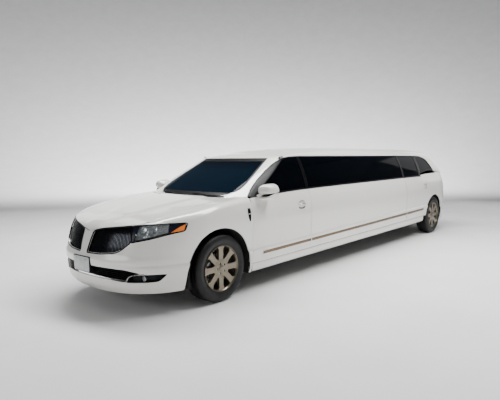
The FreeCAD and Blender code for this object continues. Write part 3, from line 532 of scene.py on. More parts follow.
# %% [markdown]
# ### Rubber, plastics, leather and carpet
# Matt blacks differ by grain: moulded plastic has a fine pebble, tyre rubber a dusty bloom on its side
# walls, leather a cell pattern of creases, carpet a deep pile.

# %% Soft and moulded finishes
gloss_black = coated("gloss_black_moulding", "#050607", 0.28, Specular_IOR_Level=0.08, tint=(0.05, "#060708", "#0C0D0F"))
satin_black = coated("grained_black_plastic", "#121314", 0.6, Specular_IOR_Level=0.2, tint=(0.08, "#141517", "#1D1E20"),
    bump=(0.0012, 0.00015, 2.0))
rubber = coated("tyre_rubber", "#070707", 0.5, Specular_IOR_Level=0.35, tint=(0.05, "#080809", "#151514"),
    bump=(0.0015, 0.0002))
seal = coated("rubber_seal", "#0E0E0F", 0.6, tint=(0.01, "#0B0B0C", "#141415"))
hide, tree, shader, here = finish("black_seat_leather", "#1A1A1C", 0.42, Sheen_Weight=0.15)
cells = node(tree, "TexVoronoi", {"Vector": here}, Scale=420.0, feature="DISTANCE_TO_EDGE")    # 2.4 mm cells
tinted(tree, shader, grain(tree, here, 0.06), "#151517", "#222225")
bumped(tree, shader, cells.outputs["Distance"], 0.00035)
cream_hide = coated("stone_leather_piping", "#8B8478", 0.45, tint=(0.03, "#7D766A", "#979084"))
lining, tree, shader, here = finish("woven_headlining", "#6E6A63", 0.9, Sheen_Weight=0.3)
weave = node(tree, "TexWave", {"Vector": here}, Scale=160.0, wave_type="BANDS", bands_direction="DIAGONAL")
tinted(tree, shader, weave.outputs["Fac"], "#615D57", "#78746C")
bumped(tree, shader, weave.outputs["Fac"], 0.0003)
trim = coated("door_card_vinyl", "#232325", 0.6, tint=(0.1, "#1E1E20", "#29292B"), bump=(0.0018, 0.0002))
carpet = coated("cut_pile_carpet", "#1C1B1D", 0.95, Sheen_Weight=0.4, tint=(0.003, "#121214", "#2A292C"), bump=(0.003, 0.002))
veneer, tree, shader, here = finish("lacquered_walnut", "#4A2E1C", 0.25, coat=0.8)
rings = node(tree, "TexWave", {"Vector": here}, Scale=3.0, Distortion=6.0, Detail=3.0, wave_type="BANDS", bands_direction="Z")
tinted(tree, shader, rings.outputs["Fac"], "#3A2114", "#6A4527", start=0.2, end=0.8)
underseal = coated("sprayed_underseal", "#141414", 0.85, tint=(0.15, "#101010", "#232120"), bump=(0.006, 0.0008))
blank_plate = coated("blank_plate_enamel", "#BFC2C2", 0.35, coat=0.4, tint=(0.04, "#B4B8B8", "#C8CBCA"))
print(len(bpy.data.materials), "finishes")

# %% [markdown]
# ## Floor, light and camera
# A studio photographer would use a pale floor that runs up behind the car, one broad light overhead and
# softer ones at the sides, so that the paint shows its shape in long smooth reflections.

# %% Stage
def stage_sheet(name, points, finish_of):
    """A plain sheet that belongs to the studio, not to the car."""
    mesh = mesh_of(name, [(points, UP)])
    obj = bpy.data.objects.new(name, mesh)
    bpy.context.collection.objects.link(obj)
    obj.data.materials.append(finish_of)
    return obj


pale = coated("pale_studio_floor", "#F4F4F3", 0.75, tint=(0.8, "#EEEEED", "#F3F3F2"))
turn_round, out = np.meshgrid(np.linspace(0, 2 * np.pi, 97),
    np.concatenate([np.linspace(0.01, 17, 12), np.linspace(17, 45, 40)[1:]]))
curl = 22.0 * np.clip((out - 17) / 28, 0, 1) ** 2                        # flat to 17 m, then it curves up like a dish
stage_sheet("studio_floor", joined(out * np.cos(turn_round) - FRONT_AXLE, out * np.sin(turn_round), curl), pale)


def soft_light(name, at, to, size, power, colour=(1, 1, 1)):
    """A rectangular area light at a point, looking at another."""
    lamp = bpy.data.lights.new(name, "AREA")
    lamp.shape, lamp.size, lamp.size_y, lamp.energy, lamp.color = "RECTANGLE", size[0], size[1], power, colour
    obj = bpy.data.objects.new(name, lamp)
    bpy.context.collection.objects.link(obj)
    obj.location = at
    obj.rotation_mode = "QUATERNION"
    obj.rotation_quaternion = (Vector(to) - Vector(at)).to_track_quat("-Z", "Y")
    return obj


soft_light("overhead", (0.5, 0.45, 6.5), (0.0, 0.3, 0.6), (11.0, 2.0), 1420)
soft_light("left_bank", (4.0, 9.0, 3.0), (0.5, 0.0, 0.7), (8.0, 1.6), 8)
soft_light("front_fill", (10.5, -1.0, 3.2), (3.0, 0.0, 0.7), (5.0, 2.0), 140)
soft_light("right_bank", (-2.0, -9.0, 3.6), (0.0, 0.0, 0.7), (9.0, 3.0), 90)
soft_light("rear_fill", (-10.0, 1.0, 3.2), (-3.0, 0.0, 0.7), (5.0, 3.0), 80)
soft_light("backdrop_wash", (-9.0, -9.0, 9.0), (-16.0, -17.0, 3.0), (16.0, 5.0), 7500)
world = bpy.data.worlds.new("studio")
world.use_nodes = True
world.node_tree.nodes["Background"].inputs["Color"].default_value = linear("#E9EDF2")
world.node_tree.nodes["Background"].inputs["Strength"].default_value = 0.15
bpy.context.scene.world = world

# %% Camera
# It stands off the car's left front corner at eye height, 33 mm lens on a 36 mm film width.
camera_data = bpy.data.cameras.new("camera")
camera_data.sensor_width, camera_data.lens = 36.0, 464.6 / 500 * 36.0
camera = bpy.data.objects.new("camera", camera_data)
bpy.context.collection.objects.link(camera)
yaw, pitch, roll = (math.radians(d) for d in (221.84, -5.2, -0.42))
look = Vector((math.cos(yaw) * math.cos(pitch), math.sin(yaw) * math.cos(pitch), math.sin(pitch)))
right = Vector((math.sin(yaw), -math.cos(yaw), 0))
up = right.cross(look)
right, up = right * math.cos(roll) + up * math.sin(roll), up * math.cos(roll) - right * math.sin(roll)
camera.matrix_world = Matrix.Translation((FRONT_AXLE + 3.448, 4.433, 1.552)) @ Matrix((right, up, -look)).transposed().to_4x4()
bpy.context.scene.camera = camera
print("camera at", [round(v, 2) for v in camera.location])

# %% [markdown]
# ## Painted sides
# A real side is pressed from flat sheet, so each panel is one smooth surface cut along its shut lines.  The
# easiest copy would cut one long side with booleans, but that leaves ragged faces.  Instead each panel is
# ruled: both of its long edges are drawn in side view, joined by straight rungs, and only then is every
# point pushed out onto the body.  The faces then follow the panel's own edges.

# %% Ruling between two drawn edges
def mix(a, b, t):
    """Part way from a to b, where t is 0 at a and 1 at b."""
    return a * (1 - t) + b * t


def bend(a, pull, b, t):
    """Quadratic curve from a to b, drawn towards pull."""
    return a * (1 - t) ** 2 + 2 * pull * t * (1 - t) + b * t * t


def along(points, count):
    """A polyline resampled to evenly spaced points by its length."""
    points = np.asarray(points, float)
    run = np.concatenate([[0], np.cumsum(np.linalg.norm(np.diff(points, axis=0), axis=1))])
    at = np.linspace(0, run[-1], count)
    return np.stack([np.interp(at, run, points[:, k]) for k in range(points.shape[1])], -1)


def rounded(points, radius, count=6, loop=True):
    """A polyline with each corner turned into a quadratic curve that starts `radius` away from it."""
    points = np.asarray(points, float)
    found = [] if loop else [points[:1]]
    for k in range(0 if loop else 1, len(points) if loop else len(points) - 1):
        a, b, c = points[k - 1], points[k], points[(k + 1) % len(points)]
        la, lc = np.linalg.norm(a - b), np.linalg.norm(c - b)
        start, end = b + (a - b) * min(radius / la, 0.45), b + (c - b) * min(radius / lc, 0.45)
        t = np.linspace(0, 1, count)[:, None]
        found.append(bend(start, b, end, t))
    if not loop:
        found.append(points[-1:])
    return np.concatenate(found)


def ruled(first, second, rungs, rows, even=True):
    """A grid of `rows` lines between two edges, each resampled to `rungs` points."""
    a = along(first, rungs) if even else np.asarray(first, float)
    b = along(second, rungs) if even else np.asarray(second, float)
    t = np.linspace(0, 1, rows)[:, None, None]
    return mix(a, b, t)


def rise(x):
    """How far the ledge has climbed by x: level at the front, 105 mm up at the rear door, level again at the tail."""
    return np.interp(x, [behind(0.2), behind(-0.25), behind(-0.42), -0.66], [0.0, 0.08, 0.105, 0.0])


def lifted(x, z):
    """Height of a master-section height z at x, once the lower flank has climbed."""
    return z + rise(x) * np.interp(z, [0.2, 0.345, 0.49, 0.75, 1.0], [0.5, 0.6, 1.0, 0.45, 0.0])


def settled(x, z):
    """The master-section height that ends up at z; found by repeated correction."""
    at = z + 0 * x
    for _ in range(14):
        at = at + z - lifted(x, at)
    return at


def pressed(drawn, inset=0.0):
    """Side-view points (x, z) pushed out onto the lower flank."""
    x, z = drawn[..., 0], drawn[..., 1]
    return joined(x, flank(x, settled(x, z), inset), z)


def glazed(drawn, inset=0.0):
    """Side-view points pushed out onto the cabin."""
    x, z = drawn[..., 0], drawn[..., 1]
    return joined(x, cabin(x, z, inset), z)


def belt(x):
    """Height of the belt line, where the lower panels end."""
    return through(BELT, 1, x)


GAP, BELT_DROP = 0.003, 0.006             # half of a shut line; how far the panels stop below the belt
FRONT_LEADING, FRONT_TRAILING, REAR_LEADING = -0.478, -1.65, behind(-1.343)
SILL = 0.345

# %% Front doors, below the window
heights = np.concatenate([np.linspace(SILL, 0.46, 7), np.linspace(0.47, 0.53, 10), np.linspace(0.56, 1.0, 16)])


def side_panel(front_edge, rear_edge, columns):
    """A panel from its foot to the belt.  The edges give x for a height; rows crowd where the ledge is."""
    def row(start, height):
        edges = (front_edge, rear_edge)
        ends = [edge(start) for edge in edges]
        for _ in range(8):
            ends = [edge(height(x)) for edge, x in zip(edges, ends)]
        x = np.linspace(float(ends[0]), float(ends[1]), columns)
        return joined(x, height(x))
    foot = heights[-1]
    lower = [row(z, lambda x, z=z: lifted(x, z)) for z in heights]
    upper = [row(foot, lambda x, share=share: foot + (belt(x) - BELT_DROP - foot) * share)
        for share in np.linspace(0, 1, 8)[1:]]
    return np.stack(lower + upper)


def rear_door_edge(z):
    """Trailing edge of the rear door: up the sill, round the wheel arch, and straight up to the belt."""
    edge = [(0.3, 0.545), (0.345, 0.54), (0.6, 0.48), (0.85, 0.345), (1.06, 0.345), (1.15, 0.395), (1.23, 0.545)]
    return through([(height, behind(-d)) for height, d in edge], 1, z)


front_skin = pressed(side_panel(lambda z: FRONT_LEADING - GAP, lambda z: FRONT_TRAILING + GAP, 60))
rear_skin = pressed(side_panel(lambda z: REAR_LEADING - GAP, lambda z: rear_door_edge(z) + GAP, 60))
stretch_skin = pressed(side_panel(lambda z: FRONT_TRAILING - GAP, lambda z: REAR_LEADING + GAP, 130))


def scoop(x, z):
    """Sheets of a flattened ball that cuts a handle's finger scoop into the skin."""
    a, b = np.meshgrid(circle(36), np.linspace(0.02, np.pi - 0.02, 17))
    y = float(flank(np.float64(x), np.float64(z))) + 0.01
    ball = joined(x + 0.08 * np.sin(b) * np.cos(a), y + 0.034 * np.cos(b), z + 0.048 * np.sin(b) * np.sin(a))
    return [looped(ball)] + fans(ball[0], ball[-1])


HANDLES = {"front": (-1.44, 0.948), "rear": (behind(-0.468), 0.975)}       # x, z
for end, skin in (("front", front_skin), ("rear", rear_skin)):
    pair(f"{end}_door_skin", f"{end}_door_", pearl, "paint", [(skin, LEFT)], thick=0.06, inner=trim, cut=[scoop(*HANDLES[end])])
pair("stretch_panel", "body", pearl, "paint", [(stretch_skin, LEFT)], thick=0.04, inner=trim, hem=0.0025)

# %% [markdown]
# ## Front wings
# A wing wraps from the wheel arch, over a soft shoulder, to the bonnet's shut line.  Its side is ruled
# between the arch and its outer edge.  Its top is carried from the flank over a quadratic curve, whose
# control point is where flank and top would meet in a sharp corner.

# %% Shoulder curve and wing
SHOULDER = 0.075
LAMP_LINE = [(0.0, 0.812), (0.085, 0.828), (0.37, 0.876), (0.64, 0.903), (1.1, 0.91)]      # y, z
SHUT = [(-0.5, 0.733), (-0.35, 0.731), (0.3, 0.712), (0.7, 0.668), (0.83, 0.642), (1.2, 0.64)]   # x, y


def over_shoulder(x, side, top, start_z, reach, count):
    """Rows from the side, over the shoulder, onto the top: a quadratic curve through the corner's pull."""
    y_corner, z_corner = corner(x, side, top, start_z)
    low = joined(x, side(x, z_corner - reach), z_corner - reach)
    y_high = y_corner - reach
    high = joined(x, y_high, top(x, y_high))
    pull = joined(x, y_corner, z_corner)
    t = np.linspace(0, 1, count)[:, None, None]
    return bend(low, pull, high, t)


def shoulder_foot(x):
    """Height on the flank at which the shoulder's curve starts."""
    return corner(x, flank, lid, 1.0)[1] - SHOULDER


def lamp_line(y):
    return through(LAMP_LINE, 1, y)


# The front arch opens wider low down, ahead of the tyre and behind it: angle in degrees, distance from its middle.
ARCH_MIDDLE = (0.03, 0.362)
ARCH_LIP = [(-32, 0.505), (-12, 0.464), (4, 0.443), (22, 0.437), (38, 0.443), (54, 0.452), (67, 0.452), (84, 0.448),
    (101, 0.449), (119, 0.455), (135, 0.46), (150, 0.462), (164, 0.461), (178, 0.468), (188, 0.48), (200, 0.503)]


def arch_lip(ray):
    """Points of the front arch's lip in side view, for angles in radians."""
    reach = through(ARCH_LIP, 1, np.degrees(ray))
    return joined(ARCH_MIDDLE[0] + reach * np.cos(ray), ARCH_MIDDLE[1] + reach * np.sin(ray))


SEAM_RAY = 33.0                           # degrees round the arch at which wing and bumper meet
SEAM_FOOT = arch_lip(np.radians(SEAM_RAY))
WING_FRONT = 0.462
top_x = np.linspace(FRONT_LEADING + GAP, WING_FRONT, 60)
rear_z = np.linspace(0.235, float(shoulder_foot(np.float64(top_x[0]))), 40)[:-1]
edge = np.concatenate([joined(top_x[0], rear_z), joined(top_x, shoulder_foot(top_x)),
    along([(WING_FRONT, float(shoulder_foot(np.float64(WING_FRONT)))), (WING_FRONT, 0.815), SEAM_FOOT], 24)[1:]])
ray = np.unwrap(np.arctan2(edge[:, 1] - ARCH_MIDDLE[1], edge[:, 0] - ARCH_MIDDLE[0]))
first, last = math.radians(194.5), math.radians(SEAM_RAY)
ray = first + (ray - ray[0]) * (last - first) / (ray[-1] - ray[0])
lip = arch_lip(ray)
share = np.linspace(0, 1, 26)[:, None, None] ** 1.15
side_sheet = pressed(lip * (1 - share) + edge * share)
curve = over_shoulder(top_x, flank, lid, 1.0, SHOULDER, 12)
shut_y = through(SHUT, 1, top_x) + GAP
inward = np.linspace(0, 1, 9)[1:, None]
top_y = curve[-1][:, 1] * (1 - inward) + shut_y * inward
top_sheet = np.concatenate([curve, joined(top_x, top_y, lid(top_x, top_y))])
print("wing side", side_sheet.shape, "top", top_sheet.shape)

# %% Wing's tongue above the headlamp
# Ahead of the seam the wing narrows to a tongue between the bonnet and the lamp.  It rolls from the lamp's
# line on the nose, over a pull at the sharp corner, onto the top, and ends where the shut line meets the nose.
tongue_x = np.linspace(WING_FRONT, 0.8, 34)
tongue_in = through(SHUT, 1, tongue_x) + GAP
edge_y, edge_z = corner(tongue_x, flank, lid, 0.9)
foot_z = settle(0.9 + 0 * tongue_x, lambda z: lamp_line(flank(tongue_x, z)) + 0.004)
join = np.clip((tongue_x - WING_FRONT) / 0.03, 0, 1)
foot_z = np.minimum(foot_z * join + (edge_z - SHOULDER) * (1 - join), edge_z - 0.002)
high_y = np.minimum(np.maximum(edge_y - SHOULDER, tongue_in + 0.001), edge_y)
low = joined(tongue_x, flank(tongue_x, foot_z), foot_z)
pull, high = joined(tongue_x, edge_y, edge_z), joined(tongue_x, high_y, lid(tongue_x, high_y))
t = np.linspace(0, 1, 12)[:, None, None]
tongue_roll = bend(low, pull, high, t)
inward = np.linspace(0, 1, 9)[1:, None]
tongue_y = high_y * (1 - inward) + np.minimum(tongue_in, high_y - 0.0005) * inward
tongue = np.concatenate([tongue_roll, joined(tongue_x, tongue_y, lid(tongue_x, tongue_y))])
pair("front_wing", "body", pearl, "paint", [(side_sheet, (0, 1, 0.2)), (top_sheet, (0, 0.3, 1)), (tongue, UP)], thick=0.012,
    inner=underseal, hem=0.0015)

# %% [markdown]
# ## Bonnet
# The bonnet has a raised middle, as wide as the grille's post at the nose and a third of the car at the
# screen.  Two soft creases bound it.  Its leading edge rolls over to the lamps' line; again the roll is a
# quadratic curve with its pull at the corner of the two master surfaces.

# %% Bonnet surface
REAR_EDGE = [(0.0, -0.225), (0.3, -0.24), (0.52, -0.27), (0.66, -0.31), (0.73, -0.345), (0.76, -0.36)]    # y, x
CREASE = [(-0.4, 0.43), (0.3, 0.3), (0.8, 0.17), (1.1, 0.085)]                                          # x, y


def bonnet_height(x, y):
    """The lid plus a raised middle, whose edge is a smooth step across the crease."""
    step = np.clip((through(CREASE, 1, x) - np.abs(y)) / 0.1 + 0.5, 0, 1)
    return lid(x, y) + 0.01 * step * step * (3 - 2 * step)


def ahead(y, z, inset=0.0):
    """x of the nose at y and z, the front view's way to place a point."""
    half = through(LOWER, 2, z) - inset
    t = np.clip(np.abs(y) / half, 0, 0.99999)
    return NOSE_START + (through(LOWER, 1, z) - NOSE_START - inset) * (1 - t ** BODY_POWER) ** (1 / BODY_POWER)


across = np.linspace(-1, 1, 111)
half_at = np.linspace(0, 1, 60)[:, None]
front_y = across * 0.636
corner_z = settle(0.85 + 0 * front_y, lambda z: bonnet_height(ahead(front_y, z), front_y))
corner_x = ahead(front_y, corner_z)
lip_z = np.minimum(lamp_line(np.abs(front_y)) + 0.004, corner_z - 0.002)
lip = joined(ahead(front_y, lip_z), front_y, lip_z)
ROLL = 0.085
roll_x = corner_x - ROLL
rear_x = through(REAR_EDGE, 1, np.abs(across) * 0.73)
long_x = rear_x + (roll_x - rear_x) * half_at
long_y = across * (through(SHUT, 1, long_x) - GAP)
long_y = np.where(half_at > 0.999, front_y, long_y)
back = joined(long_x, long_y, bonnet_height(long_x, long_y))
t = np.linspace(0, 1, 12)[1:, None, None]
pull = joined(corner_x, front_y, corner_z + 0.004)
roll = bend(back[-1], pull, lip, t)
bonnet = piece("bonnet_skin", "bonnet", pearl, "paint", [(np.concatenate([back, roll]), UP)],
    thick=0.02, inner=underseal, hem=0.002)
print("bonnet", len(bonnet.data.polygons), "faces")

# %% [markdown]
# ## Front bumper and its openings
# The bumper is one sheet, swept round the nose.  Grille, lamps, intake and fog pockets are holes in it.  A
# hole's outline is drawn as seen from the front and turned into sweep angle and height.  Its cutter is that
# outline carried through the skin, square to it everywhere, so even a lamp that wraps the corner cuts clean.

# %% Bumper sheet
def turn(y, z):
    """Sweep angle at which the nose at height z reaches y."""
    return np.arctan2(y, ahead(y, z) - NOSE_START)


def seam(z):
    """x where the bumper ends: the arch below, the seam with the wing above."""
    low_lip = arch_lip(np.radians(np.linspace(-32, SEAM_RAY, 80)))
    return np.where(z < SEAM_FOOT[1], np.interp(z, low_lip[:, 1], low_lip[:, 0]),
        np.interp(z, [SEAM_FOOT[1], 0.815, 0.91], [SEAM_FOOT[0], WING_FRONT, WING_FRONT]))


def seam_turn(z):
    return np.arctan2(flank(seam(z), z), seam(z) - NOSE_START)


s = np.linspace(-1, 1, 241)
t = np.concatenate([np.linspace(0, 0.4, 16), np.linspace(0.415, 0.48, 9), np.linspace(0.5, 1, 28)])[:, None]
guess_y = np.abs(nose(np.abs(s) * seam_turn(0.86), 0.86 + 0 * s)[:, 1])
high = np.where(np.abs(s) > 0.97, 0.908, lamp_line(guess_y)) - 0.002
low = 0.222 + 0.006 * np.abs(s) ** 4
z = low + (high - low) * t
sheet = nose(np.abs(s) * seam_turn(z), z)
sheet[..., 1] *= np.sign(s)


GRILLE = [(0.06, 0.6), (0.284, 0.608), (0.455, 0.626), (0.52, 0.655), (0.606, 0.736), (0.576, 0.935), (0.359, 0.915),
    (0.16, 0.872), (0.108, 0.838), (0.088, 0.8)]
HEADLAMP = [(0.602, 0.733), (0.74, 0.767), (0.86, 0.813), (0.916, 0.833), (0.92, 0.916), (0.842, 0.925), (0.71, 0.93),
    (0.572, 0.93)]
INTAKE = [(-0.566, 0.347), (-0.371, 0.368), (0.371, 0.368), (0.566, 0.347), (0.598, 0.41), (0.706, 0.439), (0.575, 0.476),
    (0.395, 0.484), (-0.395, 0.484), (-0.575, 0.476), (-0.706, 0.439), (-0.598, 0.41)]
POCKET = [(0.5675, 0.345), (0.718, 0.346), (0.806, 0.351), (0.858, 0.425), (0.792, 0.427), (0.717, 0.427), (0.65, 0.4225),
    (0.601, 0.402)]


def on_nose(y, z, inset=0.0):
    """Points of the nose at y and height, set in."""
    y, z = np.broadcast_arrays(np.asarray(y, float), np.asarray(z, float))
    found = nose(turn(np.abs(y), z), z, inset)
    found[..., 1] *= np.where(y < 0, -1.0, 1.0)
    return found


def loop_of(points, radius=0.02, count=120):
    """A closed outline with rounded corners, evenly spaced."""
    ring = rounded(points, radius)
    return along(np.concatenate([ring, ring[:1]]), count + 1)[:-1]


def nose_cutter(points):
    """Sheets of a cutter: an outline of (y, z) carried through the skin, with fan caps clear of its curve."""
    loop = loop_of(points)
    grid = np.stack([on_nose(loop[:, 0], loop[:, 1], depth) for depth in (-0.06, 0.2)])
    middle = grid.mean(1)
    middle[:, 0] = grid[0, :, 0].max() + 0.03, grid[1, :, 0].min() - 0.03
    return [looped(grid)] + [looped(np.stack([0 * edge + m, edge])) for m, edge in zip(middle, grid)]


holes = [nose_cutter(INTAKE)] + [sided(nose_cutter(hole), side) for _, side in SIDES for hole in (GRILLE, HEADLAMP, POCKET)]
bumper = piece("front_bumper_skin", "body", pearl, "paint", [(sheet, FORWARD)], thick=0.018, inner=underseal, cut=holes)
print("bumper", len(bumper.data.polygons), "faces", [round(v, 3) for v in bumper.dimensions])

# %% [markdown]
# ## Windscreen and its pillars
# The screen is one sheet swept round the cabin's front.  The pillar beside it is ruled between the screen's
# edge and the door's leading edge, in sweep angle and height, so it lies on the same surface as both.

# %% Windscreen
# height, side y
SCREEN_EDGE = [(1.07, 0.44), (1.105, 0.5), (1.114, 0.545), (1.123, 0.6), (1.141, 0.648), (1.161, 0.684), (1.191, 0.704),
    (1.224, 0.703), (1.264, 0.693), (1.295, 0.683), (1.374, 0.652), (1.456, 0.619), (1.533, 0.59), (1.57, 0.578)]
SCREEN_TOP, SCREEN_FOOT = 1.545, 1.085


def screen_turn(y, z):
    """Sweep angle at which the screen at height z reaches y."""
    t = np.clip(np.abs(y) / through(UPPER, 2, z), 0, 0.99999)
    return np.arctan2(np.abs(y), SCREEN_DEPTH * (1 - t ** SCREEN_POWER) ** (1 / SCREEN_POWER))


def on_screen(y, z, inset=0.0):
    found = screen(screen_turn(y, z), z, inset)
    found[..., 1] *= np.sign(y)
    return found


def screen_sheet(trim_side, trim_top, trim_foot, inset, columns=61, rows=40):
    """Part of the screen, drawn in from its edges.  Its foot bows down to the middle as the cowl does."""
    t, s = np.linspace(0, 1, rows)[:, None], np.linspace(-1, 1, columns)
    z = (SCREEN_FOOT + trim_foot) * (1 - t) + (SCREEN_TOP - trim_top) * t + 0 * s
    return on_screen(s * (through(SCREEN_EDGE, 1, z) - trim_side), z, inset)


piece("windscreen_glass", "body", laminate, "clear glass", [(screen_sheet(0.004, 0.004, 0.0, 0.006), (1, 0, 0.5))],
    thick=0.005)
outer, inner = screen_sheet(0.002, 0.002, 0.0, 0.0045), screen_sheet(0.03, 0.04, 0.055, 0.0045)


def rim(grid):
    """The points round a grid's border, as one ring."""
    return np.concatenate([grid[0, :-1], grid[:-1, -1], grid[-1, :0:-1], grid[:0:-1, 0]])


band = np.stack([rim(outer), rim(inner)])
piece("windscreen_border", "body", gloss_black, "trim", [(band, False, True, (1, 0, 0.5))], thick=0.001)

# %% Pillars beside the screen
# x, z of the front door's sloping edge
DOOR_LINE = [(-0.481, 1.1), (-0.597, 1.179), (-0.703, 1.245), (-0.831, 1.319), (-0.976, 1.398), (-1.118, 1.47), (-1.234, 1.519),
    (-1.33, 1.5475)]
rows = 40
line = along([(-0.47, 1.088)] + DOOR_LINE, rows)
screen_z = np.linspace(1.07, SCREEN_TOP + 0.003, rows)
edge_turn = screen_turn(through(SCREEN_EDGE, 1, screen_z), screen_z)
door_turn = np.arctan2(cabin(line[:, 0] + 0.004, line[:, 1]), line[:, 0] + 0.004 - through(UPPER, 1, line[:, 1]) + SCREEN_DEPTH)
t = np.linspace(0, 1, 12)[:, None]
pillar_turn, pillar_z = mix(edge_turn, door_turn, t), screen_z * (1 - t) + (line[:, 1] + 0.004) * t
pillar = screen(pillar_turn, pillar_z)
pair("screen_pillar", "body", pearl, "paint", [(pillar, (0.3, 1, 0.3))], thick=0.03, inner=trim, hem=0.002)
print("screen and pillars", pillar.shape)

# %% [markdown]
# ## Roof
# One long skin from the top of the screen to the hatch.  It is carried over the shoulder at each side like
# the wings, and its lower edge follows the tops of the windows.

# %% Roof skin
RAIL = [(-1.15, 1.52), (-1.234, 1.524), (-1.33, 1.5515), (-1.42, 1.562), (-1.65, 1.571), (-2.2, 1.573), (behind(-1.393), 1.573),
    (behind(-0.6), 1.571), (behind(-0.5), 1.57), (behind(-0.3), 1.562), (behind(-0.11), 1.526), (behind(0.0), 1.472),
    (behind(0.07), 1.397), (behind(0.15), 1.283), (behind(0.2), 1.256), (behind(0.26), 1.248), (behind(0.54), 1.236)]
ROOF_REAR = behind(0.535)


def shoulder_rows(x, reach, low_z, count_low, count_curve):
    """Rows from the rail up the cabin's side and over the shoulder, at each x."""
    y_corner, z_corner = corner(x, cabin, roof, 1.6)
    reach = np.minimum(reach, np.maximum(z_corner - low_z, 0.004) * 0.9)
    foot = z_corner - reach
    t = np.linspace(0, 1, count_low)[:-1, None]
    z = mix(low_z, foot, t)
    low = joined(x, cabin(x + 0 * z, z), z)
    start, y_high = joined(x, cabin(x, foot), foot), y_corner - reach * 1.3
    end, pull = joined(x, y_high, roof(x, y_high)), joined(x, y_corner, z_corner)
    t = np.linspace(0, 1, count_curve)[:, None, None]
    return np.concatenate([low, bend(start, pull, end, t)])


roof_x = np.concatenate([np.linspace(-1.3, -2.2, 24), np.linspace(-2.25, behind(-0.6), 50),
    np.linspace(behind(-0.58), ROOF_REAR, 40)])
sidepart = shoulder_rows(roof_x, np.interp(roof_x, [behind(0.538), behind(0.25)], [0.022, 0.085]), through(RAIL, 1, roof_x),
    8, 12)
inner_y = sidepart[-1][:, 1]
t = np.linspace(1, 0, 22)[1:, None]
middle = joined(roof_x + 0 * t * inner_y, t * inner_y, roof(roof_x, t * inner_y))
half_roof = np.concatenate([sidepart, middle])
whole_roof = np.concatenate([half_roof, mirrored(half_roof[::-1][1:])])
print("roof grid", whole_roof.shape)

# %% Front header, where the roof meets the screen
# Between the screen's top edge and the first roof row the skin is a smooth sheet ruled between the two.
header_edge = whole_roof[:, 0]
side_count = len(sidepart)
pillar_top = pillar[::-1, -1]
screen_y = np.linspace(1, 0, len(half_roof) - side_count + 1)[1:] * 0.586
half_start = np.concatenate([along(pillar_top, side_count), on_screen(screen_y, SCREEN_TOP + 0.003 + 0 * screen_y)])
start = np.concatenate([half_start, mirrored(half_start[::-1][1:])])
t = np.linspace(0, 1, 14)[:, None, None]
pull = start * [0.45, 0.5, 0.3] + header_edge * [0.55, 0.5, 0.7]
header = bend(start, pull, header_edge, t)
piece("roof_skin", "body", pearl, "paint", [(whole_roof, UP), (header, (0.3, 0, 1))],
    thick=0.03, inner=lining, hem=0.0015)

# %% [markdown]
# ## Side windows
# From outside, the side glass reads as one dark band: panes of tinted glass in gloss black frames, with only
# fine gaps between them.  A frame is ruled between its outer and inner outline, both drawn in side view.

# %% Window frames and panes
WINDOW_TOP = 1.566


def belt_run(x0, x1, count=30):
    """The belt line between two x, a little above the painted panels."""
    x = np.linspace(x0, x1, count)
    return joined(x, belt(x))


def window(name, body, outer, inner):
    """A gloss black frame between two outlines and a tinted pane inside it, on both sides of the car.
    Outlines are lists of four edges: front, top, rear and foot."""
    count = (24, 60, 24, 60)
    ring_out, ring_in = (np.concatenate([along(e, n)[:-1] for e, n in zip(edges, count)]) for edges in (outer, inner))
    t = np.linspace(0, 1, 6)[:, None, None]
    frame_grid = mix(ring_out, ring_in, t)
    foot, top = along(inner[3][::-1], 60), along(inner[1], 60)
    pane_grid = ruled(foot, top, 60, 24)
    pair(name + "_frame", body, gloss_black, "trim", [(glazed(frame_grid, 0.001), False, True, LEFT)], thick=0.028, inner=trim,
        hem=0.0015)
    pair(name + "_pane", body, privacy, "tinted glass", [(glazed(pane_grid, 0.006), LEFT)], thick=0.004)


def edges_of(a, b, c, d, top=(), foot=()):
    """Four edges through corners a (front foot), b (front top), c (rear top), d (rear foot)."""
    return [[a, b], [b, *top, c], [c, d], [d, *foot, a]]


f0, f1 = FRONT_LEADING - GAP, FRONT_TRAILING + GAP
window("front_door_window", "front_door_",
    [[(f0, belt(f0))] + [(x, z - 0.004) for x, z in DOOR_LINE],
    [(DOOR_LINE[-1][0], DOOR_LINE[-1][1] - 0.004), (-1.42, 1.5585), (f1, WINDOW_TOP + 0.002)],
    [(f1, WINDOW_TOP + 0.002), (f1, belt(f1))], belt_run(f1, f0)],
    edges_of((-0.64, 1.131), (-1.29, 1.522), (-1.616, 1.556), (-1.616, 1.156), top=[(-1.34, 1.534), (-1.42, 1.546)]))
s0, s1 = FRONT_TRAILING - GAP, REAR_LEADING + GAP
window("stretch_window", "body",
    edges_of((s0, belt(s0)), (s0, WINDOW_TOP + 0.002), (s1, WINDOW_TOP + 0.002), (s1, belt(s1)),
    foot=belt_run(s1, s0)[1:-1].tolist()),
    edges_of((-1.68, 1.158), (-1.68, 1.56), (s1 + 0.02, 1.56), (s1 + 0.02, 1.184)))
r0, r1 = REAR_LEADING - GAP, behind(-0.563) + GAP
window("rear_door_window", "rear_door_",
    edges_of((r0, belt(r0)), (r0, WINDOW_TOP + 0.002), (r1, 1.5585), (behind(-0.545) + GAP, 1.226),
    top=[(behind(-0.7), WINDOW_TOP + 0.002)],
    foot=belt_run(behind(-0.55), r0)[1:-1].tolist()),
    edges_of((r0 - 0.03, 1.184), (r0 - 0.03, 1.56), (r1 + 0.034, 1.552), (behind(-0.64), 1.19)))
q0 = behind(-0.555) - GAP
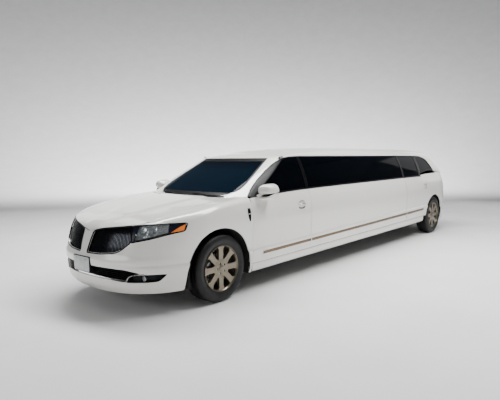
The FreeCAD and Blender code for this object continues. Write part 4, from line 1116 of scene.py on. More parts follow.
window("quarter_window", "body",
    edges_of((q0, 1.222), (q0 - 0.004, 1.564), (behind(0.15), 1.276), (behind(0.17), 1.262),
    top=[(behind(-0.3), 1.556), (behind(-0.11), 1.52), (behind(0.0), 1.466), (behind(0.07), 1.39)],
    foot=[(behind(-0.1), 1.274), (behind(-0.32), 1.256), (behind(-0.43), 1.242)]),
    edges_of((q0 - 0.028, 1.246), (q0 - 0.03, 1.544), (behind(0.125), 1.29), (behind(0.13), 1.28),
    top=[(behind(-0.31), 1.536), (behind(-0.125), 1.502), (behind(-0.02), 1.45), (behind(0.046), 1.384)],
    foot=[(behind(-0.11), 1.29), (behind(-0.31), 1.274), (behind(-0.42), 1.26)]))
print("windows made")

# %% [markdown]
# ## Rear quarters, tail and hatch
# Behind the rear door the body closes round a rounded tail.  As at the front, it is swept in polar form,
# and the hatch is cut out of it along its real shut line.

# %% Rear quarter, below its window
# Two sheets: one ruled from the rear door's trailing edge back to the wheel arch and to an upright line above
# it, and one ruled from the arch out to the belt and to the tail.
QUARTER_REAR, QUARTER_FOOT, UPRIGHT = behind(0.46), 0.404, 0.2
lip_angle = math.acos(UPRIGHT / ARCH)
lip_top = TYRE_RADIUS + ARCH * math.sin(lip_angle)
low_z, high_z = np.linspace(QUARTER_FOOT, 0.85, 30), np.linspace(0.85, 1.2, 20)[1:]
edge_z = np.concatenate([low_z, high_z])
left_edge = joined(rear_door_edge(edge_z) - GAP, edge_z)
ray = np.linspace(math.asin((QUARTER_FOOT - TYRE_RADIUS) / ARCH), lip_angle, 30)
upright_z = lip_top + (float(belt(behind(-UPRIGHT))) - BELT_DROP - lip_top) * (high_z - 0.85) / 0.35
right_edge = np.concatenate([joined(behind(0) + ARCH * np.cos(ray), TYRE_RADIUS + ARCH * np.sin(ray)),
    joined(behind(-UPRIGHT), upright_z)])
quarter_fore = pressed(ruled(left_edge, right_edge, len(edge_z), 16, even=False))
top_run = [(x, float(belt(x)) - BELT_DROP) for x in np.linspace(behind(-UPRIGHT), QUARTER_REAR, 44)]
edge_rear = [(QUARTER_REAR, z) for z in np.linspace(top_run[-1][1], 0.3, 36)]
outline = np.array(top_run[:-1] + edge_rear)
ray = np.unwrap(np.arctan2(outline[:, 1] - TYRE_RADIUS, outline[:, 0] - behind(0)))
ray = lip_angle + (ray - ray[0]) * (math.radians(189.6) - lip_angle) / (ray[-1] - ray[0])
arch_side = joined(behind(0) + ARCH * np.cos(ray), TYRE_RADIUS + ARCH * np.sin(ray))
quarter_aft = pressed(ruled(arch_side, outline, len(outline), 20, even=False))

# %% Tail, from the quarter round the back
def tail_turn(x, z):
    """Sweep angle of the tail at x."""
    return np.arctan2(flank(x, z), TAIL_START - x)


s = np.linspace(-1, 1, 161)
z = np.linspace(0.2, 1.215, 66)[:, None]
foot_x = np.where(z < 0.298, behind(0.4), QUARTER_REAR) + 0 * s
back_sheet = tail(np.abs(s) * tail_turn(foot_x, z), z + 0 * s)
back_sheet[..., 1] *= np.sign(s)
back_sheet[..., 2] = np.minimum(back_sheet[..., 2], belt(back_sheet[..., 0]))
HATCH = [(-0.566, 0.634), (0.566, 0.634), (0.646, 0.96), (0.646, 1.18), (0.566, 1.5), (0.5, 1.9), (-0.5, 1.9), (-0.566, 1.5),
    (-0.646, 1.18), (-0.646, 0.96)]


def block(outline, x0, rounding):
    """Sheets of a prism with a rear-view outline, run from x0 out past the tail, to cut with."""
    loop = along(rounded(outline, rounding), 160)[:-1]
    rings = np.stack([joined(x, loop[:, 0], loop[:, 1]) for x in (x0, behind(1.6))])
    return [looped(rings)] + fans(*rings)


lamp_hole = block([(0.655, 0.868), (1.1, 0.835), (1.1, 0.99), (0.655, 0.99)], behind(0.845), 0.015)
holes = [block(HATCH, behind(0.55), 0.05), lamp_hole, sided(lamp_hole, -1)]
piece("rear_quarters_and_bumper", "body", pearl, "paint",
    [(back_sheet, BACKWARD)] + [s for q in (quarter_fore, quarter_aft) for side in (1, -1) for s in sided([(q, LEFT)], side)],
    thick=0.018, inner=underseal, cut=holes)

# %% [markdown]
# ## Tyres and wheels
# A tyre is moulded in a ring, so it is one profile turned about the axle.  The tread's blocks come from the
# same grid: every fourth pair of columns in the shoulder rows is set in, which leaves real cross grooves.

# %% Tyre
def turned(cx, profile, angles, dip=0.0, slant=0.0):
    """A profile of (radius, distance out from the wheel's middle) turned about a left-hand axle.  dip lowers
    the radius at some rows and columns; slant turns each row a little further, by its distance out."""
    profile = np.array(profile)
    r, w = profile[:, 0, None] + 0 * angles - dip, profile[:, 1, None] + 0 * angles
    a = angles + slant * w
    return joined(cx + r * np.sin(a), TYRE_Y + w, TYRE_RADIUS + r * np.cos(a))


wall = [(0.243, 0.088), (0.2445, 0.098), (0.25, 0.1035), (0.256, 0.106), (0.2565, 0.1085), (0.261, 0.1085), (0.2615, 0.1068),
    (0.275, 0.1105), (0.29, 0.114), (0.303, 0.1158), (0.3035, 0.1168), (0.318, 0.1168), (0.3185, 0.1155), (0.33, 0.1132),
    (0.331, 0.1138), (0.338, 0.112), (0.348, 0.1075), (0.356, 0.102), (0.3625, 0.0945), (0.3668, 0.086)]
tread = [(0.3685, 0.08), (0.369, 0.063), (0.362, 0.0622), (0.362, 0.053), (0.3695, 0.0522), (0.3699, 0.0255), (0.3625, 0.0248),
    (0.3625, 0.015), (0.37, 0.0142)]
half = np.array(wall + tread)
profile = np.concatenate([half, half[::-1] * [1, -1]])
tread_block = np.radians(np.array([0.0, 3.7, 4.0, 4.7]))              # a block and its cross groove, in 5 degrees
angles = (np.radians(5.0) * np.arange(72)[:, None] + tread_block).ravel()
groove_columns = np.isin(np.arange(len(angles)) % 4, (2, 3))
depth = np.zeros(len(half))
depth[17:22] = [0.001, 0.003, 0.005, 0.006, 0.006]
depth[24:26] = 0.0035
depth = np.concatenate([depth, depth[::-1]])
dip = depth[:, None] * groove_columns
axles = (("front", 0.0), ("rear", behind(0)))
for end, cx in axles:
    pair(end + "_tyre_rubber", end + "_wheel_", rubber, "tyre", [looped(turned(cx, profile, angles, dip, 1.2), True)],
        closed=True,
        crease=30)

# %% [markdown]
# The wheel is cast in one piece: a barrel with a bright lip, a dished hub and eight broad flat spokes.  Each
# spoke is swept outwards with its own cross-section, wider where it melts into hub and rim.

# %% Wheel
rim_half = [(0.25, 0.1085), (0.2488, 0.112), (0.246, 0.1132), (0.2425, 0.1115), (0.2385, 0.104), (0.235, 0.1), (0.2315, 0.092),
    (0.23, 0.05), (0.224, 0.0), (0.226, -0.07), (0.236, -0.096), (0.24, -0.11), (0.246, -0.1132), (0.25, -0.1085),
    (0.244, -0.098), (0.242, -0.09), (0.23, -0.05), (0.229, 0.0), (0.234, 0.05), (0.242, 0.09), (0.244, 0.098)]
around = circle(144)
hub_profile = [(0.001, 0.105), (0.015, 0.1046), (0.026, 0.103), (0.03, 0.1012), (0.0302, 0.0975), (0.033, 0.0972),
    (0.0336, 0.1), (0.042, 0.099), (0.078, 0.096), (0.093, 0.0955), (0.101, 0.0935), (0.105, 0.09), (0.105, 0.065),
    (0.06, 0.06), (0.001, 0.06)]
reach = np.concatenate([np.linspace(0.085, 0.2, 16), np.linspace(0.204, 0.2385, 14)])
broad = 0.0325 + 0.02 * np.clip((reach - 0.2) / 0.034, 0, 1) ** 2 + 0.012 * np.clip((0.118 - reach) / 0.03, 0, 1) ** 2
level = np.interp(reach, [0.085, 0.12, 0.2, 0.232, 0.2385], [0.095, 0.0965, 0.099, 0.1005, 0.103])
section = np.array([(-0.9, -0.045), (-1.0, -0.012), (-1.0, -0.0035), (-0.94, -0.0006), (-0.86, 0.0), (-0.45, -0.0012),
    (0.0, -0.0016), (0.45, -0.0012), (0.86, 0.0), (0.94, -0.0006), (1.0, -0.0035), (1.0, -0.012), (0.9, -0.045)])


def spoke(cx, k):
    """Grid of one spoke, out along its line and across its section, turned to its place."""
    a = k * np.pi / 4
    across, w = section[:, 0] * broad[:, None], section[:, 1] + level[:, None]
    out = np.sqrt(np.clip(reach[:, None] ** 2 - across ** 2, 1e-6, None))
    u, v = out * np.sin(a) + across * np.cos(a), out * np.cos(a) - across * np.sin(a)
    return joined(cx + u, TYRE_Y + w, TYRE_RADIUS + v)


def pin(x, z, y0, y1, radius, count=24):
    """A closed cylinder across the car."""
    a = circle(count)
    rings = np.stack([joined(x + r * np.sin(a), y, z + r * np.cos(a))
        for r, y in ((1e-4, y0), (radius, y0), (radius, y1), (1e-4, y1))])
    return looped(rings)


lug_at = [(0.057 * math.sin(a), 0.057 * math.cos(a)) for a in np.radians(np.arange(5) * 72 + 20)]
brake_profile = [(0.064, 0.048), (0.066, 0.03), (0.096, 0.0295), (0.0965, 0.047), (0.164, 0.047), (0.1645, 0.025),
    (0.096, 0.025), (0.05, 0.025), (0.05, 0.048)]
for end, cx in axles:
    body = end + "_wheel_"
    pockets = [[pin(cx + u, TYRE_RADIUS + v, TYRE_Y + 0.072, TYRE_Y + 0.12, 0.0125)] for u, v in lug_at]
    nuts = [pin(cx + u, TYRE_RADIUS + v, TYRE_Y + 0.0725, TYRE_Y + 0.09, 0.0085, 6) for u, v in lug_at]
    pair(body + "hub", body, champagne, "alloy", [looped(turned(cx, hub_profile, around))], closed=True, cut=pockets)
    pair(body + "rim", body, champagne, "alloy", [looped(turned(cx, rim_half, around), True)], closed=True)
    pair(body + "spokes", body, champagne, "alloy", [(spoke(cx, k), LEFT) for k in range(8)], crease=40)
    pair(body + "nuts", body, chrome, "chrome", nuts, closed=True, hem=0.0008)
    pair(end + "_brake_disc", body, steel, "steel", [looped(turned(cx, brake_profile, around), True)], closed=True)
    for word, _ in SIDES:
        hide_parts(f"{end}_wheel_{word}")
        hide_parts(f"{end}_tyre_{word}")

# %% [markdown]
# ## Wheelhouse liners
# Behind the wheel is a moulded liner, black and rough.  It is a half drum with a wall on its inner side.

# %% Liners
def liner(cx, first, last, radius, inner_y, outer_y):
    """Half drum over a wheel and the wall that closes it inboard, as one sheet from lip to middle."""
    a = np.radians(np.linspace(first, last, 73))
    rows = [(radius, outer_y), (radius, outer_y - 0.05), (radius, (inner_y + outer_y) / 2), (radius, inner_y + 0.02),
        (radius - 0.012, inner_y),
        (radius * 0.7, inner_y), (0.16, inner_y)]
    return np.stack([joined(cx + r * np.cos(a), y, np.maximum(TYRE_RADIUS + r * np.sin(a), 0.235)) for r, y in rows])


front_liner = liner(0.012, -18, 197, 0.446, 0.486, 0.935)
rear_liner = liner(behind(0), 6, 190, 0.432, 0.64, 0.93)
pair("front_wheel_liner", "body", underseal, "underbody", [(front_liner, None)], thick=0.003)
pair("rear_wheel_liner", "body", underseal, "underbody", [(rear_liner, None)], thick=0.003)

# %% [markdown]
# ## Sills and their trim
# The sill below the doors is a separate moulding that tucks under the car.  Below the ledge runs a strip of brushed
# bronze, dark enough to paint in the ledge's shadow; on the real car the line is cut at each door, so here each door
# carries its own length of it.

# %% Sills and strips
def run_of(section_points, x0, x1, count):
    """A long moulding: cross-section points (out from the flank, height) carried along the car."""
    x = np.linspace(x0, x1, count)
    rows = [joined(x, flank(x, np.full_like(x, max(z, 0.338))) + out, lifted(x, np.full_like(x, z)))
        for out, z in section_points]
    return np.stack(rows)


sill_section = [(-0.004, 0.3405), (0.0, 0.33), (-0.001, 0.29), (-0.008, 0.262), (-0.022, 0.245), (-0.05, 0.237),
    (-0.095, 0.235)]
sill_run = run_of(sill_section, -0.48, behind(-0.545), 120)
shadow_strip_section = [(-0.001, 0.4325), (0.0035, 0.434), (0.006, 0.438), (0.0062, 0.4475), (0.0045, 0.4595), (0.001, 0.4625),
    (-0.001, 0.463)]
bead_section = [(-0.001, 0.4285), (0.005, 0.4292), (0.0068, 0.431), (0.005, 0.4332), (-0.001, 0.434)]
reaches = {"front_door": (-0.655, FRONT_TRAILING + 0.01, 20), "body": (FRONT_TRAILING - 0.01, REAR_LEADING + 0.01, 60),
    "rear_door": (REAR_LEADING - 0.01, behind(-0.575), 20)}           # x from, x to, sections
pair("sill", "body", pearl, "paint", [(sill_run, (0, 1, -0.3))], thick=0.006, inner=underseal)
for owner, (x0, x1, count) in reaches.items():
    body = owner if owner == "body" else owner + "_"
    pair("sill_strip_" + owner, body, shadow_bronze, "chrome", [(run_of(shadow_strip_section, x0, x1, count), LEFT)], thick=0.002)
    pair("sill_bead_" + owner, body, chrome, "chrome", [(run_of(bead_section, x0, x1, count), LEFT)], thick=0.001)
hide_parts("sills")

# %% [markdown]
# ## Door handles
# Each handle is a chromed strap across a round scoop.  A crescent of dark chrome below it and a thin arc above it are
# painted shade, where the scoop's edges fall dark.  The scoop was cut into the door's skin; the strap is swept along a
# shallow arch, thicker at its middle.

# %% Handles
def signed(v, power):
    """The size of v raised to a power, with its sign kept."""
    return np.sign(v) * np.abs(v) ** power


def swept_ring(path, half_wide, half_tall, power=2.6, count=20):
    """Closed sections along a path: superellipses whose half sizes may change from point to point.
    The section's first direction is level and square to the path; the second is square to both."""
    path = np.asarray(path, float)
    ahead_of = unit(np.gradient(path, axis=0))
    level_way = unit(np.cross(ahead_of, [0, 0, 1.0]))
    upward = np.cross(level_way, ahead_of)
    wide, tall = (np.broadcast_to(half, len(path))[:, None] for half in (half_wide, half_tall))
    a = circle(count)
    return ringed(path, level_way * wide, upward * tall, signed(np.cos(a), 2 / power), signed(np.sin(a), 2 / power))


def capped(grid):
    """A swept ring with its ends drawn together into their middles."""
    return np.concatenate([grid[:1].mean(1, keepdims=True) + 0 * grid[:1], grid,
        grid[-1:].mean(1, keepdims=True) + 0 * grid[-1:]])


def swept(*what):
    """The sheet of a capped rod or moulding; what is the same as for swept_ring."""
    return looped(capped(swept_ring(*what)))


t = np.linspace(-1, 1, 25)
for end, (hx, hz) in HANDLES.items():
    skin = float(flank(np.float64(hx), np.float64(hz)))
    strap_path = joined(hx - 0.074 * t, skin + 0.03 - 0.034 * t ** 6 - 0.006 * t ** 2, hz + 0.006 - 0.002 * t)
    # Painted shade: the dark chrome crescent below the strap and the thin brow above it.
    crescent_a = np.pi * (0.5 + 0.4 * t)
    crescent_path = joined(hx - 0.08 * np.cos(crescent_a), skin + 0.002, hz - 0.008 - 0.044 * np.sin(crescent_a))
    brow_path = joined(hx - 0.07 * np.cos(np.pi * (0.5 + 0.36 * t)), skin + 0.001,
        hz + 0.012 + 0.034 * np.sin(np.pi * (0.5 + 0.36 * t)))
    strap = swept(strap_path, 0.0055 + 0.002 * (1 - t ** 2), 0.0105 - 0.003 * t ** 4)
    shade_crescent = swept(crescent_path, 0.004 * (1.02 - t ** 4), 0.013 * (1.02 - t ** 4))
    shade_brow = swept(brow_path, 0.003 * (1.02 - t ** 4), 0.004 * (1.02 - t ** 4))
    pair(end + "_handle_strap", end + "_door_", chrome, "chrome", [strap], closed=True)
    pair(end + "_handle_painted_shade", end + "_door_", shade_chrome, "chrome", [shade_crescent, shade_brow], closed=True)
    for word, _ in SIDES:
        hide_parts(f"{end}_handle_{word}")

# %% [markdown]
# ## Door mirrors
# The mirror's shell is a rounded pod with a seam near its foot, carried on a short stalk from the door's
# corner.  It is swept across the car with a section that grows quickly and closes round at its outer end.

# %% Mirrors
MIRROR_X, MIRROR_Z = -0.768, 1.148


def pod(y_in, y_out, half_tall, half_deep, low, high, ahead_by=0.0):
    """Part of the mirror's shell between two shares of its height; sections run outwards from the door."""
    t = np.concatenate([np.linspace(0, 0.15, 6), np.linspace(0.2, 0.8, 12), 1 - 0.2 * (1 - np.linspace(0, 1, 12)[1:]) ** 1.6])
    grow = (1 - np.abs(2 * t - 1.0) ** 4.5).clip(0) ** 0.5
    y = y_in + (y_out - y_in) * t
    a = np.linspace(np.pi / 2, -np.pi / 2, 36)                          # from the top, round the front, to the foot
    up, front = signed(np.sin(a), 0.72), np.abs(np.cos(a)) ** 0.62
    up = low + (high - low) * (up + 1) / 2
    tall = half_tall * (0.8 + 0.2 * np.sin(np.pi * np.clip(t * 1.05, 0, 1)))
    z = MIRROR_Z + tall[:, None] * grow[:, None] * up + 0.01 * t[:, None]
    x = MIRROR_X + ahead_by - 0.03 * t[:, None] + half_deep * grow[:, None] * front
    return joined(x, y[:, None], z)


upper, lower = pod(0.882, 1.088, 0.094, 0.164, -0.42, 1.0), pod(0.884, 1.085, 0.092, 0.16, -1.0, -0.5)
belt_gap = pod(0.886, 1.082, 0.09, 0.151, -0.6, -0.3)
for name, grid, coat in (("upper", upper, pearl), ("lower", lower, pearl), ("seam", belt_gap, gloss_black)):
    pair("mirror_" + name, "front_door_", coat, "paint" if coat is pearl else "dark plastic", [(grid, FORWARD)], thick=0.004,
        inner=satin_black)
back = pod(0.89, 1.08, 0.086, 0.002, -0.92, 0.95, 0.006)
pair("mirror_glass", "front_door_", chrome, "chrome",
    [(ruled(back[:, 0], back[:, -1], 0, 10, even=False).swapaxes(0, 1), BACKWARD)], thick=0.002)
stalk = swept([(-0.64, 0.865, 1.098), (-0.642, 0.885, 1.1), (-0.648, 0.915, 1.106), (-0.655, 0.945, 1.12),
    (-0.66, 0.965, 1.14)],
    [0.04, 0.04, 0.036, 0.03, 0.022], [0.02, 0.022, 0.024, 0.026, 0.02])
pair("mirror_stalk", "front_door_", pearl, "paint", [stalk], closed=True, crease=60)
sail_line = [(-0.52, 1.115), (-0.56, 1.14), (-0.64, 1.192), (-0.7, 1.228)]
sail_foot = [(-0.52, 1.108), (-0.58, 1.1105), (-0.64, 1.1125), (-0.715, 1.116)]
sail = glazed(ruled(sail_foot, sail_line, 16, 8), -0.003)
pair("mirror_sail", "front_door_", satin_black, "dark plastic", [(sail, LEFT)], thick=0.003)
for word, _ in SIDES:
    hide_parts("mirror_" + word)
print("mirrors", [round(float(v), 3) for v in upper.reshape(-1, 3).min(0)],
    [round(float(v), 3) for v in upper.reshape(-1, 3).max(0)])

# %% [markdown]
# ## Wing vent
# Behind the front wheel is a slim upright slot with bright lips.  The place for a badge is left plain.

# %% Vents
vent_line = [(-0.4215, 0.985, 0.9), (-0.4225, 0.95, 1.0), (-0.424, 0.915, 1.0), (-0.4265, 0.875, 0.8), (-0.43, 0.836, 0.35)]
vent = np.array(vent_line)
t = np.linspace(0, 1, 30)
vx, vz, vw = (np.interp(t, np.linspace(0, 1, 5), vent[:, k]) for k in range(3))
across = np.linspace(-1, 1, 7)[:, None]
slot_sheet = pressed(joined(vx + 0.024 * vw * across, vz), -0.0012)
pair("wing_vent", "body", gloss_black, "dark plastic", [(slot_sheet, LEFT)], thick=0.001)
lips = [swept(pressed(joined(vx + 0.025 * vw * way, vz), -0.001), 0.0012, 0.0012, 2.0, 10) for way in (-1, 1)]
cross = pressed(joined(np.linspace(-0.45, -0.398, 8), np.full(8, 0.922)), -0.0015)
pair("wing_vent_trim", "body", chrome, "chrome", [*lips, swept(cross, 0.0022, 0.0035, 2.4, 10)], closed=True)

# %% [markdown]
# ## Grille, intake and lamps
# The whole band from the grille to the lamp's outer tip is one black opening.  A grille of real slats could
# be cut from a plate, but blades drawn one by one between the opening's lower and upper edges lean with it
# and catch the light singly, as pressed blades do.

# %% Sheets and tubes that follow the nose
def between(low, high, share, rows, inset):
    """A sheet on the nose ruled between two polylines of (y, z), columns at the given shares of each."""
    def at(line):
        line = np.asarray(line, float)
        run = np.concatenate([[0], np.cumsum(np.linalg.norm(np.diff(line, axis=0), axis=1))])
        return np.stack([np.interp(share * run[-1], run, line[:, k]) for k in (0, 1)], -1)
    a, b = at(low), at(high)
    t = np.linspace(0, 1, rows)[:, None, None]
    drawn = mix(a, b, t)
    return on_nose(drawn[..., 0], drawn[..., 1], inset)


def tube_on(outline, inset, proud, wide, closed=True, surface=on_nose):
    """A rounded moulding along a line of (y, z) on a surface: proud across the surface, wide along it."""
    line = surface(outline[:, 0], outline[:, 1], inset)
    out = line - surface(outline[:, 0], outline[:, 1], inset + 0.01)
    run = unit((np.roll(line, -1, 0) - np.roll(line, 1, 0)) if closed else np.gradient(line, axis=0))
    a, out = circle(10), unit(out)
    ring = ringed(line, np.cross(run, out) * wide, out * proud, np.cos(a), np.sin(a))
    return looped(ring, True) if closed else looped(capped(ring))

# %% Grille
grille_low = [(0.066, 0.606), (0.284, 0.614), (0.455, 0.632), (0.52, 0.662), (0.596, 0.732)]
grille_high = [(0.092, 0.822), (0.182, 0.846), (0.277, 0.861), (0.473, 0.88), (0.568, 0.889)]
share = np.linspace(0, 1, 60)
backing = between([(0.05, 0.59), *grille_low[1:4], (0.622, 0.735)], [(0.075, 0.824), *grille_high[1:4], (0.59, 0.893)], share,
    16, 0.055)
rim_line = loop_of([*GRILLE[:4], (0.603, 0.735), (0.572, 0.889), (0.473, 0.879), (0.277, 0.859), (0.182, 0.843),
    (0.088, 0.815)], 0.02, 160)
blades = []
for s in np.linspace(0.02, 0.985, 34):
    line = between(grille_low, grille_high, np.array([s, s + 0.011]), 14, 0.018)
    back_line = between(grille_low, grille_high, np.array([s, s + 0.011]), 14, 0.036)
    blades.append(looped(np.stack([line[:, 0], line[:, 1], back_line[:, 1], back_line[:, 0]], 1)))
foot = along(np.array(grille_low[:4]) + [0, 0.004], 60)
pair("grille_backing", "body", satin_black, "dark plastic", [(backing, FORWARD)], thick=0.003)
# The blades are chrome; their dark colour is a painted reflection of the dark around them.
pair("grille_blades", "body", shade_chrome, "dark plastic", blades, crease=30)
pair("grille_frame", "body", gloss_black, "dark plastic", [tube_on(rim_line, 0.0045, 0.007, 0.0075)], closed=True)
pair("grille_lip", "body", chrome, "chrome", [tube_on(foot, 0.003, 0.0035, 0.0028, closed=False)], closed=True)
for word, _ in SIDES:
    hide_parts("grille")

# %% [markdown]
# ### Headlamps
# Behind a clear lens lie a black bezel, a bright reflector with a low and a high beam bowl and a row of
# crystal lenses, and an amber corner.  The lens is set a hair below the bumper's skin all round.

# %% Headlamp
lamp_low = [(0.604, 0.738), (0.74, 0.772), (0.86, 0.816), (0.916, 0.836)]
lamp_high = [(0.572, 0.89), (0.71, 0.903), (0.842, 0.913), (0.918, 0.912)]
share = np.linspace(0, 1, 50)
lens = between([(0.624, 0.744), (0.74, 0.772), (0.85, 0.812)], [(0.628, 0.896), (0.71, 0.903), (0.842, 0.913)], share, 16,
    0.003)
masks = [between([(0.598, 0.733), (0.626, 0.744)], [(0.566, 0.889), (0.63, 0.897)], np.linspace(0, 1, 8), 16, 0.004),
    between([(0.848, 0.811), (0.86, 0.815), (0.918, 0.834)], [(0.84, 0.914), (0.88, 0.914), (0.92, 0.914)],
    np.linspace(0, 1, 24), 16, 0.004)]
bezel = between([(0.59, 0.725), *lamp_low[1:3], (0.925, 0.83)], [(0.56, 0.896), *lamp_high[1:3], (0.925, 0.916)], share, 18,
    0.048)
lamp_rim = loop_of([*HEADLAMP[:4], (0.918, 0.912), (0.842, 0.913), (0.71, 0.904), (0.574, 0.889)], 0.014, 150)
crystal_low = [(0.626, 0.752), (0.74, 0.782), (0.82, 0.812), (0.846, 0.824)]
crystal_high = [(0.63, 0.88), (0.72, 0.894), (0.81, 0.904), (0.838, 0.904)]
u, v = np.meshgrid(np.linspace(0, 1, 97), np.linspace(0, 1, 49))
facet = 0.004 * np.abs(np.sin(u * np.pi * 12)) * np.abs(np.sin(v * np.pi * 5))
reflector = between(crystal_low, crystal_high, np.linspace(0, 1, 97), 49, 0.034)
reflector_back = between(crystal_low, crystal_high, np.linspace(0, 1, 97), 49, 0.044)


def bowl_depth(centre_u, centre_v, wide, tall):
    """A dish pressed into the reflector."""
    d = ((u - centre_u) / wide) ** 2 + ((v - centre_v) / tall) ** 2
    return np.sqrt(np.clip(1 - d, 0, None))


dish = 1.2 * np.maximum(bowl_depth(0.2, 0.5, 0.155, 0.44), bowl_depth(0.56, 0.5, 0.13, 0.42))
reflector = reflector + (reflector_back - reflector) * (dish + facet / 0.004 * 0.35 * (dish < 0.05))[..., None]
amber_low = [(0.856, 0.826), (0.885, 0.833), (0.912, 0.842)]
amber_high = [(0.866, 0.838), (0.89, 0.876), (0.911, 0.901)]
corner_lens = between(amber_low, amber_high, np.linspace(0, 1, 24), 12, 0.001)
pair("headlamp_bezel", "body", gloss_black, "dark plastic", [(bezel, FORWARD)], thick=0.003)
pair("headlamp_mask", "body", lamp_navy, "dark plastic", [(mask, FORWARD) for mask in masks], thick=0.002)
pair("headlamp_reflector", "body", mirror_bowl, "chrome", [(reflector, FORWARD)], thick=0.002, crease=50)
bulbs = []
for s in (0.2, 0.56):
    spot = between(crystal_low, crystal_high, np.array([s, s + 0.01]), 3, 0.04)[1, 0]
    a, b = np.meshgrid(circle(24), np.linspace(0.02, 1.57, 8))
    dome = joined(spot[0] + 0.016 * np.cos(b), spot[1] + 0.024 * np.sin(b) * np.cos(a), spot[2] + 0.024 * np.sin(b) * np.sin(a))
    bulbs.append((dome, False, True, FORWARD))
pair("headlamp_projectors", "body", crystal, "lamp lens", bulbs)
pair("headlamp_corner", "body", amber, "lamp lens", [(corner_lens, FORWARD)], thick=0.006, hem=0.001)
pair("headlamp_rim", "body", gloss_black, "dark plastic", [tube_on(lamp_rim, 0.0035, 0.006, 0.0065)], closed=True)
pair("headlamp_lens", "body", clear, "lamp lens", [(lens, FORWARD)], thick=0.0025)
for word, _ in SIDES:
    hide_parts("headlamps")

# %% [markdown]
# ### Intake, fog pockets and number plate
# The intake has level bars between its two curved lips; a bright arc parts it from each fog pocket.  The
# plate is blank and sits in a black bracket, tipped a little as brackets are when they have been bumped.

# %% Intake and pockets
share = np.linspace(0, 1, 90)
intake_back = between([(-0.7, 0.35), (0.0, 0.35), (0.7, 0.35)], [(-0.76, 0.455), (-0.4, 0.495), (0.4, 0.495), (0.76, 0.455)],
    share, 12, 0.085)
piece("intake_backing", "body", satin_black, "dark plastic", [(intake_back, FORWARD)], thick=0.003)
bar_y = np.linspace(-0.62, 0.62, 80)
foot = np.interp(np.abs(bar_y), [0, 0.371, 0.548, 0.62], [0.372, 0.368, 0.347, 0.345])
head = np.interp(np.abs(bar_y), [0, 0.395, 0.575, 0.64], [0.485, 0.484, 0.476, 0.462])
bars = [tube_on(joined(bar_y, mix(foot, head, t)), 0.03, 0.014, 0.0055, closed=False) for t in (0.17, 0.34, 0.51, 0.68, 0.85)]
piece("intake_bars", "body", gloss_black, "dark plastic", bars, closed=True)
arc = rounded([(0.568, 0.348), (0.586, 0.388), (0.606, 0.412), (0.65, 0.426), (0.725, 0.434)], 0.03, 6, loop=False)
pocket_back = between([(0.56, 0.335), (0.72, 0.335), (0.815, 0.342), (0.87, 0.4)],
    [(0.6, 0.4), (0.66, 0.425), (0.792, 0.436), (0.87, 0.436)],
    np.linspace(0, 1, 40), 10, 0.045)
fog_spot = on_nose(np.array([0.715]), np.array([0.386]), 0.018)[0]
a, b = np.meshgrid(circle(32), np.linspace(0, 1, 10))
fog_bowl = joined(fog_spot[0] - 0.03 * np.sqrt(1 - b ** 2), fog_spot[1] + 0.026 * b * np.cos(a),
    fog_spot[2] + 0.026 * b * np.sin(a))
fog_lens = joined(fog_spot[0] + 0.004 * (1 - b ** 2), fog_spot[1] + 0.027 * b * np.cos(a), fog_spot[2] + 0.027 * b * np.sin(a))
pair("intake_arc", "body", bright_trim, "chrome", [tube_on(along(arc, 40), 0.001, 0.006, 0.0036, closed=False)], closed=True)
pair("fog_pocket", "body", satin_black, "dark plastic", [(pocket_back, FORWARD)], thick=0.003)
pair("fog_lamp_bowl", "body", mirror_bowl, "chrome", [(fog_bowl, False, True, FORWARD)], thick=0.002)
pair("fog_lamp_lens", "body", clear, "lamp lens", [(fog_lens, False, True, FORWARD)], thick=0.002)
for word, _ in SIDES:
    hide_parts("fog_lamps")
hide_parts("lower_grille")

# %% Number plate
def tipped(loop, height, tip):
    """A loop of (y, z) turned by `tip` radians about the point at y = 0 and this height."""
    y, z = loop[:, 0], loop[:, 1] - height
    return joined(y * math.cos(tip) - z * math.sin(tip), height + y * math.sin(tip) + z * math.cos(tip))


def frame_of(half_wide, z0, z1, count, tip=0.0):
    """A rectangle's outline with rounded corners, tipped."""
    return tipped(loop_of([(-half_wide, z0), (half_wide, z0), (half_wide, z1), (-half_wide, z1)], 0.012, count),
        (z0 + z1) / 2, tip)


def panel_box(x0, x1, half_wide, z0, z1, tip=0.0):
    """A plate with rounded corners as a closed solid from x0 to x1."""
    loop, middle = frame_of(half_wide, z0, z1, 80, tip), np.array([0.0, (z0 + z1) / 2])
    rings = [(x, middle + (loop - middle) * scale) for x, scale in ((x0, 0.001), (x0, 1.0), (x1, 1.0), (x1, 0.001))]
    return looped(np.stack([joined(np.full(len(loop), x), ring[:, 0], ring[:, 1]) for x, ring in rings]))


PLATE_X, PLATE_TIP = 1.108, 0.02
piece("plate_bracket", "body", satin_black, "dark plastic",
    [panel_box(PLATE_X - 0.034, PLATE_X - 0.0045, 0.158, 0.402, 0.566, PLATE_TIP)],
    closed=True, hem=0.002)
plate = piece("blank_number_plate", "body", blank_plate, "plate",
    [panel_box(PLATE_X - 0.0045, PLATE_X - 0.0025, 0.15, 0.409, 0.559, PLATE_TIP)],
    closed=True, hem=0.0004)
border = frame_of(0.146, 0.413, 0.555, 100, PLATE_TIP)


def flat(y, z, inset=0.0):
    """The plate's own plane, for a moulding to lie on."""
    return joined(PLATE_X - 0.0026 - inset, y, z)


piece("plate_edge", "body", chrome, "chrome", [tube_on(border, 0.0, 0.002, 0.003, surface=flat)], closed=True)
screws = []
for y in (-0.089, 0.089):
    a = circle(24)
    rows = [joined(PLATE_X - 0.003 + out, y + r * np.cos(a), 0.538 + r * np.sin(a))
        for out, r in ((0.0, 0.0065), (0.0016, 0.0062), (0.0026, 0.0045), (0.0029, 0.0002))]
    screws.append((np.stack(rows), False, True, FORWARD))
piece("plate_screws", "body", steel, "steel", screws)
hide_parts("front_plate")

